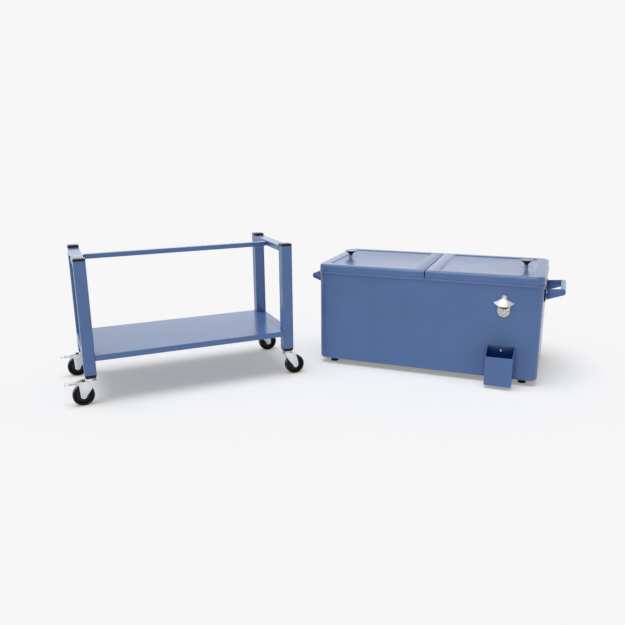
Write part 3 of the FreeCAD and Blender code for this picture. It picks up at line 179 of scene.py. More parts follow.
def makeCastSteel():
    # cast and tumbled steel: pits and pale high spots a couple of millimetres across
    cast = Shader("castSteel")
    cast.put(Metallic=1.0)
    pits = cast.noise(420.0, 5.0, 0.7)
    tones = [(0.36, linear(96, 92, 84)), (0.5, linear(190, 188, 182)), (0.62, linear(240, 240, 238))]
    cast.wire(cast.ramp(pits, tones), cast.surface.inputs["Base Color"])
    cast.wire(cast.ramp(pits, [(0.35, 0.45), (0.6, 0.22)]), cast.surface.inputs["Roughness"])
    cast.bump(pits, 0.5, 0.0004)
    return cast.material


# the main paint carries painted shade in crevices, gaps and under overhangs
paint = makePaint("bluePowderCoat", paintLook["creviceShadeReach"], False, 0.15, 0.85)
# a second paint with deeper painted shade, counted only within its own piece, for the catcher's inside
pocketShadePaint = makePaint("bluePocketShadeCoat", paintLook["pocketShadeReach"], True, 0.55, 0.98)
blackPlastic = makePlastic("blackPlastic", linear(6, 8, 12), linear(12, 15, 20), 0.2, 900, 1.33)
wheelRubber = makePlastic("wheelRubber", linear(7, 7, 8), linear(14, 14, 15), 0.28, 600, 1.33)
whitePlastic = makePlastic("whitePlastic", linear(226, 228, 230), linear(236, 237, 238), 0.35, 500)
foam = makePlastic("foam", linear(214, 196, 146), linear(226, 210, 164), 0.85, 260)
sealRubber = makePlastic("sealRubber", linear(58, 59, 62), linear(72, 73, 76), 0.65, 700)
zinc = makeMetal("zincPlate", linear(202, 206, 208), linear(228, 231, 232), 0.3)
castSteel = makeCastSteel()
chrome = makeMetal("knobChrome", linear(118, 121, 126), linear(150, 153, 158), 0.16)
polished = makeMetal("polishedSteel", linear(196, 197, 198), linear(232, 233, 234), 0.3)
darkBolt = makeMetal("blackBolt", linear(30, 31, 34), linear(46, 47, 50), 0.35)

bySlot = {
    "blue_paint": paint,
    "black_plastic": blackPlastic,
    "collar_steel": paint,
    "zinc_steel": zinc,
    "wheel_rubber": wheelRubber,
    "dark_bolts": darkBolt,
    "bright_screws": zinc,
    "handle_steel": paint,
    "opener_steel": castSteel,
    "knob_chrome": chrome,
    "seal_rubber": sealRubber,
    "foam": foam,
    "white_plastic": whitePlastic,
    "drain_plastic": blackPlastic,
}
slotOf = {entry["node"]: entry["material_slot"] for entry in frame["record"]["subparts"]}

for name, slotName in slotOf.items():
    mesh = nodes[name].data
    mesh.materials.clear()
    mesh.materials.append(bySlot[slotName])
# the catcher's inside is darkened with painted shade from the pocket paint
nodes["cap_catcher"].data.materials[0] = pocketShadePaint
print("materials on every node")


# ---- shapes from computed points ----

def span(node):
    # a node's lowest and highest corners as arrays
    low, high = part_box(node)
    return np.array(low), np.array(high)


def middle(node):
    low, high = span(node)
    return (low + high) / 2


def unit(vector):
    return vector / np.linalg.norm(vector)


class Place:
    # a local frame: an origin and three directions in the row's frame
    def __init__(self, origin, x=(1, 0, 0), y=(0, 1, 0), z=(0, 0, 1)):
        self.origin = np.array(origin, float)
        self.axes = np.array([x, y, z], float)

    def put(self, points):
        return self.origin + np.asarray(points, float) @ self.axes

    def at(self, x, y, z):
        return Place(self.put((x, y, z)), *self.axes)

    def turned(self, x, y, z):
        # the same origin with new axes, given in the old frame
        return Place(self.origin, *(np.array([x, y, z], float) @ self.axes))


class Shape:
    # gathers surfaces into one mesh
    def __init__(self):
        self.points = []
        self.faces = []
        self.count = 0

    def surface(self, rows, around=True, ends=True, loop=False):
        # rows is an array (row, column, xyz): quads join neighbours; around closes each row, ends puts a
        # face on the first and last rows, and loop joins the last row to the first
        rows = np.asarray(rows, float)
        height, width = rows.shape[:2]
        index = np.arange(height * width).reshape(height, width) + self.count
        self.points.append(rows.reshape(-1, 3))
        self.count += height * width
        grid = np.vstack([index, index[:1]]) if loop else index
        left = grid if around else grid[:, :-1]
        right = np.roll(grid, -1, axis=1) if around else grid[:, 1:]
        quads = np.stack([left[:-1], right[:-1], right[1:], left[1:]], axis=-1).reshape(-1, 4)
        self.faces += quads.tolist()
        if ends and not loop:
            self.faces += [index[0][::-1].tolist(), index[-1].tolist()]

    def turnedPart(self, profile, place, steps=48):
        # a profile of (radius, height) turned about the place's z
        profile = np.array(profile, float)
        angle = np.linspace(0, 2 * np.pi, steps, endpoint=False)
        radius, height = profile[:, :1], profile[:, 1:]
        rows = np.stack([radius * np.cos(angle), radius * np.sin(angle), height + 0 * angle], axis=-1)
        self.surface(place.put(rows))

    def slab(self, outline, low, high, bevel, place, steps=3):
        # an outline in x and y, thick from low to high in z, with rounded edges
        angle = np.linspace(0, np.pi / 2, steps)
        inset = bevel * (1 - np.sin(angle))
        lift = bevel * (1 - np.cos(angle))
        levels = [(i, low + l) for i, l in zip(inset, lift)]
        levels += [(i, high - l) for i, l in zip(inset[::-1], lift[::-1])]
        rows = [np.column_stack([shrink(outline, i), np.full(len(outline), z)]) for i, z in levels]
        self.surface(place.put(np.array(rows)))

    def finish(self, name, material, body, slotName, *replaced, sharp=35):
        mesh = bpy.data.meshes.new(name)
        mesh.from_pydata(np.vstack(self.points).tolist(), [], self.faces)
        work = bmesh.new()
        work.from_mesh(mesh)
        bmesh.ops.remove_doubles(work, verts=work.verts, dist=2e-6)
        bmesh.ops.recalc_face_normals(work, faces=work.faces)
        work.to_mesh(mesh)
        work.free()
        mesh.shade_smooth()
        mesh.set_sharp_from_angle(angle=math.radians(sharp))
        mesh.materials.append(material)
        made = bpy.data.objects.new(name, mesh)
        scene.collection.objects.link(made)
        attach(made, body)
        if replaced:
            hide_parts(*replaced)
        return made


def shrink(outline, amount):
    # moves every point of a closed outline inwards along its corner's normal
    outline = np.asarray(outline, float)
    if amount == 0:
        return outline
    before = outline - np.roll(outline, 1, axis=0)
    after = np.roll(outline, -1, axis=0) - outline
    before /= np.linalg.norm(before, axis=1, keepdims=True) + 1e-12
    after /= np.linalg.norm(after, axis=1, keepdims=True) + 1e-12
    normals = np.column_stack([-before[:, 1] - after[:, 1], before[:, 0] + after[:, 0]])
    length = np.linalg.norm(normals, axis=1, keepdims=True)
    share = np.maximum(length / 2, 0.5)
    area = np.sum(outline[:, 0] * np.roll(outline[:, 1], -1) - outline[:, 1] * np.roll(outline[:, 0], -1))
    return outline + normals / (length + 1e-12) / share * amount * np.sign(area)


def arc(centre, radius, start, end, steps=8):
    # points on a circle between two angles in degrees
    angle = np.radians(np.linspace(start, end, steps))
    return np.column_stack([centre[0] + radius * np.cos(angle), centre[1] + radius * np.sin(angle)])


def roundedPlan(xLow, xHigh, yLow, yHigh, radii, steps=8):
    # a rectangle with four corner radii, anticlockwise from the low corner
    corners = [(xLow, yLow, 1, 1, 180), (xHigh, yLow, -1, 1, 270),
               (xHigh, yHigh, -1, -1, 0), (xLow, yHigh, 1, -1, 90)]
    parts = [arc((x + r * sx, y + r * sy), r, begin, begin + 90, steps)
             for (x, y, sx, sy, begin), r in zip(corners, radii)]
    return np.vstack(parts)


corners = ("front_left", "front_right", "back_left", "back_right")
boxMiddle = middle("outer_shell")
boxPlace = Place((boxMiddle[0], boxMiddle[1], 0))
legs = {corner: middle("leg_" + corner) for corner in corners}
along = unit((legs["front_right"] - legs["front_left"]) * (1, 1, 0))
across = unit((legs["back_left"] - legs["front_left"]) * (1, 1, 0))


# ---- lids ----

lidLook = {
    "edgeRound": 0.009,
    "sheet": 0.0012,
    "cornerRound": 0.031,
    "panelSide": 0.034,
    "panelEnd": 0.042,
    "panelSplit": 0.046,
    "panelCorner": 0.010,
    "panelSink": 0.003,
    "rampWidth": 0.008,
    "splitBevel": 0.0015,
    "notchHalf": 0.007,
    "notchAt": 0.150,
    "notchTop": 0.004,
    "underDrop": 0.0055,     # top of the hollow below the lid's top
    "seam": 0.00002,         # between the two points of a notch's edge
}


def lidRing(end, side, split, inset, splitInset, corner, height):
    # one ring of a lid: a rectangle round at its outer end, with extra points on the split side where the
    # hinge posts pass; there the ring never hangs below the notch's top
    radius = max(corner - inset, 0.0006)
    tight = 0.0006     # the split's own corners, almost square
    plan = roundedPlan(split + splitInset, end - inset, -side + inset, side - inset,
                       [tight, radius, radius, tight], 12)
    seam = lidLook["seam"]
    edges = lidLook["notchAt"] + np.array([1, 1, -1, -1]) * lidLook["notchHalf"] + np.array([seam, 0, 0, -seam])
    y = np.concatenate([edges, -edges[::-1]])
    extra = np.column_stack([np.full(8, split + splitInset), y])
    ring = np.vstack([plan, extra])
    z = np.full(len(ring), height[0])
    z[[-7, -6, -3, -2]] = max(height[0], height[1])
    return np.column_stack([ring, z])


def makeLid(side, sign):
    low, high = span("lid_skin_" + side)
    end = max(abs(high[0] - boxMiddle[0]), abs(low[0] - boxMiddle[0]))
    split = min(abs(high[0] - boxMiddle[0]), abs(low[0] - boxMiddle[0]))
    half = (high[1] - low[1]) / 2
    bottom, top = low[2], high[2]
    notch = top - lidLook["notchTop"]
    edge = lidLook["edgeRound"]
    wall = lidLook["sheet"]
    corner = lidLook["cornerRound"]
    bevel = lidLook["splitBevel"]

    def ring(inset, splitInset, z):
        return lidRing(end, half, split, inset, splitInset, corner, (z, notch))

    # from the middle of the hollow's top, down inside the wall, round its lower edge and up outside
    rows = [ring(edge + 0.004, 0.004, top - lidLook["underDrop"]),
            ring(edge * 0.6, wall, top - edge * 0.5 - wall), ring(wall, wall, top - edge - wall),
            ring(wall, wall, bottom), ring(0, 0, bottom)]
    for angle in np.linspace(0, np.pi / 2, 10):
        inset = edge * (1 - np.cos(angle))
        rows.append(ring(inset, bevel * (1 - np.cos(angle)) if angle > 1.2 else 0,
                         top - edge * (1 - np.sin(angle))))
    # the soft ramp down to the panel: a smooth step across its width
    panel = (end - lidLook["panelEnd"], half - lidLook["panelSide"], split + lidLook["panelSplit"])
    for share in np.linspace(0, 1, 9):
        grow = lidLook["rampWidth"] * (0.5 - share)
        drop = lidLook["panelSink"] * share ** 2 * (3 - 2 * share)
        rows.append(lidRing(panel[0] + grow, panel[1] + grow, panel[2] - grow, 0, 0,
                            lidLook["panelCorner"] + grow, (top - drop, 0)))
    lid = Shape()
    turned = boxPlace if sign > 0 else boxPlace.turned((-1, 0, 0), (0, -1, 0), (0, 0, 1))
    lid.surface(turned.put(np.array(rows)))
    lid.finish("lidSkin_" + side, paint, "lid_" + side, "blue_paint", "lid_skin_" + side, sharp=50)


for side, sign in (("left", -1), ("right", 1)):
    makeLid(side, sign)
print("lids made")


# ---- knobs ----

knobLook = {
    "disc": 0.022,
    "discThick": 0.003,
    "foot": 0.0072,
    "neck": 0.0066,
    "neckAt": 0.009,
}


def makeKnob(side):
    # a trumpet that stands on its small end, closed by a flat disc with a dished top
    low, high = span("lid_knob_" + side)
    centre = middle("lid_knob_" + side)
    top = high[2] - low[2]
    disc, neck, neckAt = knobLook["disc"], knobLook["neck"], knobLook["neckAt"]
    under = top - knobLook["discThick"]
    # the radius falls to the neck and grows again with a power of the height
    share = np.linspace(0, 1, 8)
    down = list(zip(neck + (knobLook["foot"] - neck) * (1 - share) ** 2, neckAt * share))
    share = np.linspace(0, 1, 16)[1:]
    up = list(zip(neck + (disc - 0.001 - neck) * share ** 1.55, neckAt + (under - neckAt) * share))
    rim = [(disc - 0.0003, under + 0.0002), (disc, under + 0.0008), (disc, top - 0.0007),
           (disc - 0.0003, top - 0.0002), (disc - 0.001, top), (disc * 0.88, top),
           (disc * 0.85, top - 0.0004), (disc * 0.5, top - 0.0008), (0, top - 0.0008)]
    knob = Shape()
    knob.turnedPart([(0, 0)] + down + up + rim, Place((centre[0], centre[1], low[2])), 72)
    knob.finish("knob_" + side, chrome, "lid_" + side, "knob_chrome", "lid_knob_" + side, sharp=30)


makeKnob("left")
makeKnob("right")


# ---- handles ----

handleLook = {
    "sheet": 0.002,
    "gripRadius": 0.012,
    "gripHeight": 0.319,
    "rootLow": 0.031,
    "rootHigh": 0.008,
    "flange": 0.020,
    "flangeCorner": 0.011,
    "halfWidth": 0.083,
    "bead": 0.0009,
}


def makeHandle(side, sign):
    # out is away from the wall, y along the grip, z up; cheeks taper towards the round grip
    low, high = span("handle_" + side)
    reach = high[0] - low[0]
    wall = low[0] if sign > 0 else high[0]
    place = Place((wall, boxMiddle[1], 0)).turned((sign, 0, 0), (0, 1, 0), (0, 0, 1))
    radius = handleLook["gripRadius"]
    height = handleLook["gripHeight"]
    sheet = handleLook["sheet"]
    half = handleLook["halfWidth"]
    rootLow = height - handleLook["rootLow"]
    rootHigh = height + handleLook["rootHigh"]
    tip = arc((reach - radius, height), radius, -90, 90, 18)
    cheek = np.vstack([[(0, rootLow)], tip, [(0, rootHigh)]])
    handle = Shape()
    upright = place.turned((1, 0, 0), (0, 0, 1), (0, 1, 0))
    for y in (-half, half - sheet):
        handle.slab(cheek, y, y + sheet, handleLook["bead"], upright)
    # grip: a channel open towards the wall, its section a thick arc swept between the cheeks
    outer = arc((reach - radius, height), radius - 0.0004, -118, 118, 30)
    inner = arc((reach - radius, height), radius - 0.0026, 118, -118, 30)
    section = np.vstack([outer, inner])
    ys = np.array([-half + sheet * 0.5, half - sheet * 0.5])
    rows = [np.column_stack([section, np.full(len(section), y)]) for y in ys]
    handle.surface(upright.put(np.array(rows)))
    # feet with round outer corners, flat on the pad
    corner = handleLook["flangeCorner"]
    facing = place.turned((0, 1, 0), (0, 0, 1), (1, 0, 0))
    for way in (-1, 1):
        near, far = half - sheet, half + handleLook["flange"]
        yLow, yHigh = (near, far) if way > 0 else (-far, -near)
        radii = [0.0008, corner, corner, 0.0008] if way > 0 else [corner, 0.0008, 0.0008, corner]
        handle.slab(roundedPlan(yLow, yHigh, rootLow, rootHigh, radii), 0, sheet, 0.0007, facing)
    handle.finish("handle_" + side + "_bent", paint, "box", "handle_steel", "handle_" + side, sharp=35)


makeHandle("left", -1)
makeHandle("right", 1)
print("knobs and handles made")


# ---- bottle opener ----

openerLook = {
    "offset": 0.277,
    "top": 0.322,
    "height": 0.078,
    "tab": 0.009,
    "neckDrop": 0.013,
    "wing": 0.0345,
    "tipDrop": 0.027,
    "lipDrop": 0.0405,
    "shield": 0.021,
    "sheet": 0.002,
    "hoodReach": 0.0155,
    # depth of the dark lens below the hood's lip, which is painted shade
    "mouth": 0.0088,
}


def makeOpener():
    look = openerLook
    front = span("outer_shell")[0][1]
    # x across, y up, z out of the wall
    place = Place((boxMiddle[0] + look["offset"], front, 0), (1, 0, 0), (0, 0, 1), (0, -1, 0))
    top = look["top"]
    tabMiddle = top - look["tab"]
    shieldMiddle = top - look["height"] + look["shield"]
    waist = top - look["lipDrop"] + 0.006
    right = np.vstack([arc((0, tabMiddle), look["tab"], 90, -40, 12), [(look["tab"] * 0.8, waist + 0.006)],
                       [(look["shield"] - 0.002, waist + 0.002), (look["shield"], waist)],
                       arc((0, shieldMiddle), look["shield"], 0, -90, 16)])
    plate = Shape()
    plate.slab(np.vstack([right, right[1:-1][::-1] * (-1, 1)]), 0, look["sheet"], 0.0008, place)
    # hood: a pointed lens as wide as the wings. Its upper edge falls in a curve from the neck to the tips,
    # its lower edge is a shallow bow, and it stands out most at the middle of the lower lip
    sideways, down = np.meshgrid(np.linspace(-1, 1, 41), np.linspace(0, 1, 15))
    high = top - look["neckDrop"] - (look["tipDrop"] - look["neckDrop"]) * np.abs(sideways) ** 1.25
    low = top - look["lipDrop"] + (look["lipDrop"] - look["tipDrop"] - 0.0015) * np.abs(sideways) ** 2.2
    height = high + (low - high) * down
    swell = (1 - sideways ** 2) ** 0.8 * down ** 0.7
    reach = look["sheet"] + (look["hoodReach"] - look["sheet"]) * swell
    outer = np.stack([sideways * look["wing"], height, reach], -1)
    inner = outer * (0.94, 1, 1) + (0, 0, -look["sheet"])
    plate.finish("openerCast", castSteel, "box", "opener_steel", "bottle_opener", sharp=40)
    hood = Shape()
    hood.surface(place.put(np.concatenate([outer, inner[:, ::-1]], axis=1)))
    hood.finish("openerHood", polished, "box", "opener_steel", sharp=40)
    # painted shade under the hood: a lens of dark metal just below the lip stands in for the shadow the hood
    # casts
    spread = np.linspace(-1, 1, 25)
    lip = top - look["lipDrop"] + 0.006 * np.abs(spread) ** 2.2
    edge = look["shield"] * 0.93 * spread
    lower = np.column_stack([edge, lip - look["mouth"] * (1 - spread ** 2) ** 0.35])
    upper = np.column_stack([edge, lip + 0.001])[::-1]
    mouth = Shape()
    mouth.slab(np.vstack([lower, upper[1:-1]]), look["sheet"] * 0.5, look["sheet"] + 0.0015, 0.0003, place)
    mouth.finish("openerHoodShade", darkBolt, "box", "opener_steel", sharp=40)


makeOpener()


# ---- screws and feet ----

screwLook = {
    "head": 0.0042,
    "height": 0.0022,
    "socket": 0.0016,
    "sink": 0.002,                    # neck inside the plate
    "spread": 0.011,                  # a handle's screws above and below the middle of its foot
    "openerDrops": (0.010, 0.062),    # below the opener's top
    "catcherHeight": 0.122,
    "catcherSheet": 0.0012,
}


def screwHead(shape, place):
    # a domed head with a round-bottomed drive socket; z points out of the head
    head, height, socket = (screwLook[key] for key in ("head", "height", "socket"))
    angle = np.linspace(0, 1, 7)
    dome = [(head * math.cos(a * 0.9), height * (0.25 + 0.75 * math.sin(a * math.pi / 2))) for a in angle]
    drive = [(socket, height), (socket * 0.9, height * 0.45), (0, height * 0.35)]
    neck = [(0, -screwLook["sink"]), (head * 0.5, -screwLook["sink"]), (head * 0.5, 0), (head, 0)]
    shape.turnedPart(neck + dome + drive, place, 24)


def makeScrews():
    sides = Shape()
    sheet = handleLook["sheet"]
    seats = ((-1, span("handle_left")[1][0] - sheet), (1, span("handle_right")[0][0] + sheet))
    rootMiddle = handleLook["gripHeight"] + (handleLook["rootHigh"] - handleLook["rootLow"]) / 2
    y = handleLook["halfWidth"] + handleLook["flange"] / 2
    for sign, x in seats:
        for way in (-1, 1):
            for lift in (-screwLook["spread"], screwLook["spread"]):
                seat = (x, boxMiddle[1] + y * way, rootMiddle + lift)
                screwHead(sides, Place(seat, (0, sign, 0), (0, 0, 1), (sign, 0, 0)))
    sides.finish("handleScrewHeads", zinc, "box", "bright_screws", "handle_screws")
    front = Shape()
    wall = span("outer_shell")[0][1]
    x = boxMiddle[0] + openerLook["offset"]
    heights = [(openerLook["top"] - drop, openerLook["sheet"]) for drop in screwLook["openerDrops"]]
    for z, sheet in heights + [(screwLook["catcherHeight"], screwLook["catcherSheet"])]:
        screwHead(front, Place((x, wall - sheet, z), (1, 0, 0), (0, 0, 1), (0, -1, 0)))
    front.finish("frontScrewHeads", zinc, "box", "bright_screws", "front_screws")


makeScrews()


footRadius = 0.015


def makeFeet():
    # short round feet with a hollow underneath and a groove near the top
    low, high = span("box_feet")
    feet = Shape()
    radius = footRadius
    tall = high[2] - low[2]
    for x in (low[0] + radius, high[0] - radius):
        for y in (low[1] + radius, high[1] - radius):
            feet.turnedPart([(0, 0.0012), (radius * 0.45, 0.0012), (radius * 0.5, 0), (radius - 0.002, 0),
                             (radius - 0.0006, 0.0006), (radius, 0.002), (radius, tall * 0.7),
                             (radius - 0.0008, tall * 0.75), (radius - 0.0008, tall), (0, tall)],
                            Place((x, y, 0)), 40)
    feet.finish("feetTurned", blackPlastic, "box", "black_plastic", "box_feet")


makeFeet()
print("opener, screws and feet made")


# ---- legs' caps and sockets ----

capLook = {
    "side": 0.038,
    "corner": 0.004,
    "bevel": 0.0024,
    "taper": 0.0022,
    "inTube": 0.0017,        # a plug's side inside the tube's outside
    "bore": 0.0051,          # hole for the caster's stem
    "points": 24,            # round a rounded square
}


def squareRings(levels, place):
    # levels are (half side, height); rounded squares stacked one above another
    points = capLook["points"]
    radii = [capLook["corner"]] * 4
    plans = [(roundedPlan(-half, half, -half, half, radii, points // 4), z) for half, z in levels]
    return place.put(np.array([np.column_stack([plan, np.full(points, z)]) for plan, z in plans]))


def makeCaps():
    low, high = span("leg_caps")
    legTop = span("leg_front_left")[1][2]
    half, bevel = capLook["side"] / 2, capLook["bevel"]
    inside = half - capLook["inTube"]
    levels = [(inside, low[2]), (inside, legTop), (half, legTop), (half, legTop + 0.0006),
              (half, high[2] - bevel), (half - bevel * 0.3, high[2] - bevel * 0.3), (half - bevel, high[2])]
    caps = Shape()
    for centre in legs.values():
        caps.surface(squareRings(levels, Place((centre[0], centre[1], 0), along, across)))
    caps.finish("legCaps", blackPlastic, "cart", "black_plastic", "leg_caps")


def makeSocket(corner, centre):
    # a plug with a tapered head under the leg, bored from below for the stem
    place = Place((centre[0], centre[1], 0), along, across)
    bottom, top = (point[2] for point in span("leg_socket_" + corner))
    legEnd = span("leg_" + corner)[0][2]
    half, taper, points = capLook["side"] / 2, capLook["taper"], capLook["points"]
    inside, outer = half - capLook["inTube"], half - 0.0002
    rows = squareRings([(inside, top), (inside, legEnd), (outer, legEnd), (outer, legEnd - 0.0015),
                        (half - taper, bottom + 0.001), (half - taper - 0.001, bottom)], place)
    # the bore's points stand at the same angles as the square's
    square = squareRings([(half, 0)], Place((0, 0, 0)))[0]
    angle = np.arctan2(square[:, 1], square[:, 0])
    ring = np.column_stack([np.cos(angle), np.sin(angle)]) * capLook["bore"]
    wellTop = top - 0.003
    well = [np.column_stack([ring * share, np.full(points, z)])
            for share, z in ((1, bottom), (1, wellTop), (0.001, wellTop))]
    socket = Shape()
    socket.surface(np.concatenate([rows, place.put(np.array(well))]))
    socket.finish("socket_" + corner, blackPlastic, "cart", "black_plastic", "leg_socket_" + corner)


for corner, centre in legs.items():
    makeSocket(corner, centre)
makeCaps()


# ---- casters ----

casterLook = {
    "trail": 0.027,
    "wheel": 0.035,
    "tread": 0.012,
    "hub": 0.011,
    "cheekGap": 0.014,
    "cheekSheet": 0.0025,
    "eye": 0.010,
    "crownTop": 0.084,
    "crownLow": 0.076,
    "crownHalf": 0.018,
    "nut": 0.0048,
    "pivotOut": 0.034,
    "pivotHeight": 0.078,
    "pedalReach": 0.088,
}


def makeWheel(corner, place):
    look = casterLook
    wheel, tread, hub = look["wheel"], look["tread"], look["hub"]
    face = look["cheekGap"] - 0.0005
    # half section from the bore outwards: hub, dished disc, rim bead, side groove, rounded tread
    side = [(0.00405, face), (hub - 0.001, face), (hub, face - 0.001), (hub, 0.0062), (hub + 0.001, 0.0055),
            (0.0235, 0.0055), (0.0245, 0.0065), (0.0255, tread - 0.0012), (0.0262, tread - 0.0004),
            (0.0275, tread), (0.0282, tread - 0.0008), (0.0290, tread), (0.0312, tread)]
    shoulder = [(wheel - 0.0038 + 0.0038 * math.sin(a), tread - 0.0038 + 0.0038 * math.cos(a))
                for a in np.linspace(0.1, math.pi / 2, 7)]
    half = side + shoulder
    whole = half + [(radius, -out) for radius, out in reversed(half)]
    angle = np.linspace(0, 2 * np.pi, 64, endpoint=False)
    radius, out = np.array(whole)[:, :1], np.array(whole)[:, 1:]
    rows = np.stack([radius * np.cos(angle), radius * np.sin(angle), out + 0 * angle], -1)
    axle = place.at(look["trail"], 0, wheel).turned((1, 0, 0), (0, 0, 1), (0, -1, 0))
    shape = Shape()
    shape.surface(axle.put(rows), loop=True)
    shape.finish("wheel_" + corner, wheelRubber, "wheel_" + corner, "wheel_rubber", "caster_wheel_" + corner)


def cheekOutline(back):
    # a round eye below that sweeps up in two hollow curves to the crown
    look = casterLook
    eye, trail, axle = look["eye"], look["trail"], look["wheel"]
    share = np.linspace(0, 1, 9)[1:]
    rise = (look["crownTop"] - 0.0005) - axle
    # hollow curve: the width grows with the square of the height
    rightX = trail + eye + (back - trail - eye) * share ** 1.8
    leftX = trail - eye + (-look["crownHalf"] - trail + eye) * share ** 0.9
    up = axle + rise * share
    return np.vstack([arc((trail, axle), eye, 180, 360, 18), np.column_stack([rightX, up]),
                      np.column_stack([leftX, up])[::-1]])


def makeFork(corner, place, braked):
    look = casterLook
    back = look["pivotOut"] + 0.007 if braked else look["crownHalf"] + 0.006
    gap, sheet = look["cheekGap"], look["cheekSheet"]
    fork = Shape()
    upright = place.turned((1, 0, 0), (0, 0, 1), (0, 1, 0))
    for y in (-gap - sheet, gap):
        fork.slab(cheekOutline(back), y, y + sheet, 0.0007, upright)
    end = look["crownHalf"] if braked else back - 0.002
    crown = roundedPlan(-look["crownHalf"] + 0.0005, end, -gap - sheet, gap + sheet, [0.005] * 4, 6)
    fork.slab(crown, look["crownTop"] - 0.003, look["crownTop"], 0.0008, place)
    race = span("caster_fork_" + corner)[1][2]
    fork.turnedPart([(0.0051, look["crownTop"] - 0.003), (0.017, look["crownTop"] - 0.003),
                     (0.017, look["crownTop"] + 0.001), (0.0164, look["crownTop"] + 0.0018),
                     (0.0155, race - 0.0012), (0.0160, race - 0.0004), (0.0155, race), (0.0051, race)],
                    place, 40)
    fork.finish("fork_" + corner, zinc, "fork_" + corner, "zinc_steel", "caster_fork_" + corner)


def makeAxle(corner, place):
    look = casterLook
    axle = Shape()
    nut = look["nut"]
    face = look["cheekGap"] + look["cheekSheet"]
    for way in (-1, 1):
        out = place.at(look["trail"], face * way, look["wheel"]).turned((1, 0, 0), (0, 0, -way), (0, way, 0))
        axle.turnedPart([(0, 0), (nut, 0), (nut, 0.0034), (nut * 0.86, 0.0041), (0.0039, 0.0041),
                         (0.0039, 0.0045), (0, 0.0045)], out, 6)
    through = place.at(look["trail"], -face, look["wheel"]).turned((1, 0, 0), (0, 0, -1), (0, 1, 0))
    axle.turnedPart([(0, 0), (0.004, 0), (0.004, face * 2), (0, face * 2)], through, 24)
    axle.finish("axle_" + corner, zinc, "fork_" + corner, "zinc_steel", "caster_axle_" + corner)


def makeStem(corner, place):
    # rivet head below the crown, race plate above it, shank up into the leg
    name = "caster_stem_" + corner
    bottom, top = (point[2] for point in span(name))
    socket = span("leg_socket_" + corner)[0][2]
    race = casterLook["crownTop"] + 0.0043
    rivet = casterLook["crownLow"] - 0.0003
    stem = Shape()
    stem.turnedPart([(0, bottom), (0.007, bottom), (0.008, bottom + 0.001), (0.008, rivet), (0.005, rivet),
                     (0.005, race), (0.0165, race), (0.017, race + 0.0005), (0.017, socket - 0.0004),
                     (0.0166, socket), (0.005, socket), (0.005, top), (0, top)], place, 40)
    stem.finish("stem_" + corner, zinc, "cart", "zinc_steel", name)


def makePedal(corner, place):
    # two plates, one above the other, with ribs between them; the upper one is a little shorter
    look = casterLook
    pivot, height, reach = look["pivotOut"], look["pivotHeight"], look["pedalReach"]
    half = look["cheekGap"] - 0.0005
    pedal = Shape()

    def plate(xLow, xHigh, width, zLow, zHigh, tip):
        plan = roundedPlan(xLow, xHigh, -width, width, [0.002, tip, tip, 0.002], 8)
        pedal.slab(plan, zLow, zHigh, 0.0006, place)

    plate(pivot - 0.005, reach - 0.014, half * 0.86, height + 0.0055, height + 0.0075, half * 0.6)
    plate(pivot - 0.002, reach, half * 0.92, height - 0.003, height - 0.0008, half * 0.8)
    # cross ribs that hold the upper plate off the lower one, and a rolled bar across the tip
    for x in (pivot + 0.008, reach - 0.022):
        pedal.slab(roundedPlan(x, x + 0.005, -half * 0.7, half * 0.7, [0.001] * 4, 4), height - 0.001,
                   height + 0.006, 0.0004, place)
    tip = place.at(reach - 0.006, -half * 0.6, height + 0.0005).turned((1, 0, 0), (0, 0, -1), (0, 1, 0))
    length = half * 1.2
    pedal.turnedPart([(0, 0), (0.0024, 0), (0.003, 0.0006), (0.003, length - 0.0006), (0.0024, length),
                      (0, length)], tip, 20)
    # pivot tube with its pin, and the shoe above the tread
    tube = place.at(pivot, -half, height).turned((1, 0, 0), (0, 0, -1), (0, 1, 0))
    pedal.turnedPart([(0, 0), (0.0044, 0), (0.005, 0.0006), (0.005, half * 2 - 0.0006), (0.0044, half * 2),
                      (0, half * 2)], tube, 28)
    wide = look["cheekGap"] + look["cheekSheet"] + 0.0009
    pin = place.at(pivot, -wide, height).turned((1, 0, 0), (0, 0, -1), (0, 1, 0))
    pedal.turnedPart([(0, 0), (0.0025, 0), (0.0025, wide * 2), (0, wide * 2)], pin, 20)
    shoeLow = span("brake_pedal_" + corner)[0][2]
    pedal.slab(roundedPlan(pivot + 0.013, pivot + 0.019, -half * 0.8, half * 0.8, [0.001] * 4, 4), shoeLow,
               height, 0.0005, place)
    pedal.finish("pedal_" + corner, zinc, "pedal_" + corner, "zinc_steel", "brake_pedal_" + corner)


for corner, centre in legs.items():
    outwards = along * (1 if corner.endswith("right") else -1)
    sideways = np.cross((0, 0, 1), outwards)
    swivel = Place((centre[0], centre[1], 0), outwards, sideways)
    braked = corner.endswith("left")
    makeWheel(corner, swivel)
    makeFork(corner, swivel, braked)
    makeAxle(corner, swivel)
    makeStem(corner, swivel)
    if braked:
        makePedal(corner, swivel)
print("caps, sockets and casters made")


# ---- floor, light and camera ----

stageLook = {
    "seen": 0.93,            # brightness of the floor and the backdrop in the picture
    "floorGlow": (0.29, 0.27, 0.20),    # share of the floor's brightness that shadows leave, warm
    "dome": 0.3,
    "mirrorLow": 1.2,        # the dome's brightness in reflections, at the horizon and overhead
    "mirrorHigh": 0.3,
    "mirrorLeft": 0.42,      # how much brighter it is towards the left
    "mirrorLamp": 1.8,       # a lamp seen only in reflections, above the front
    "lampWay": (-0.05, -0.72, 0.68),
    "sunStrength": 1.6,
    "sunSpread": 42.0,
    "sunTilt": (-7.0, -10.0),
}


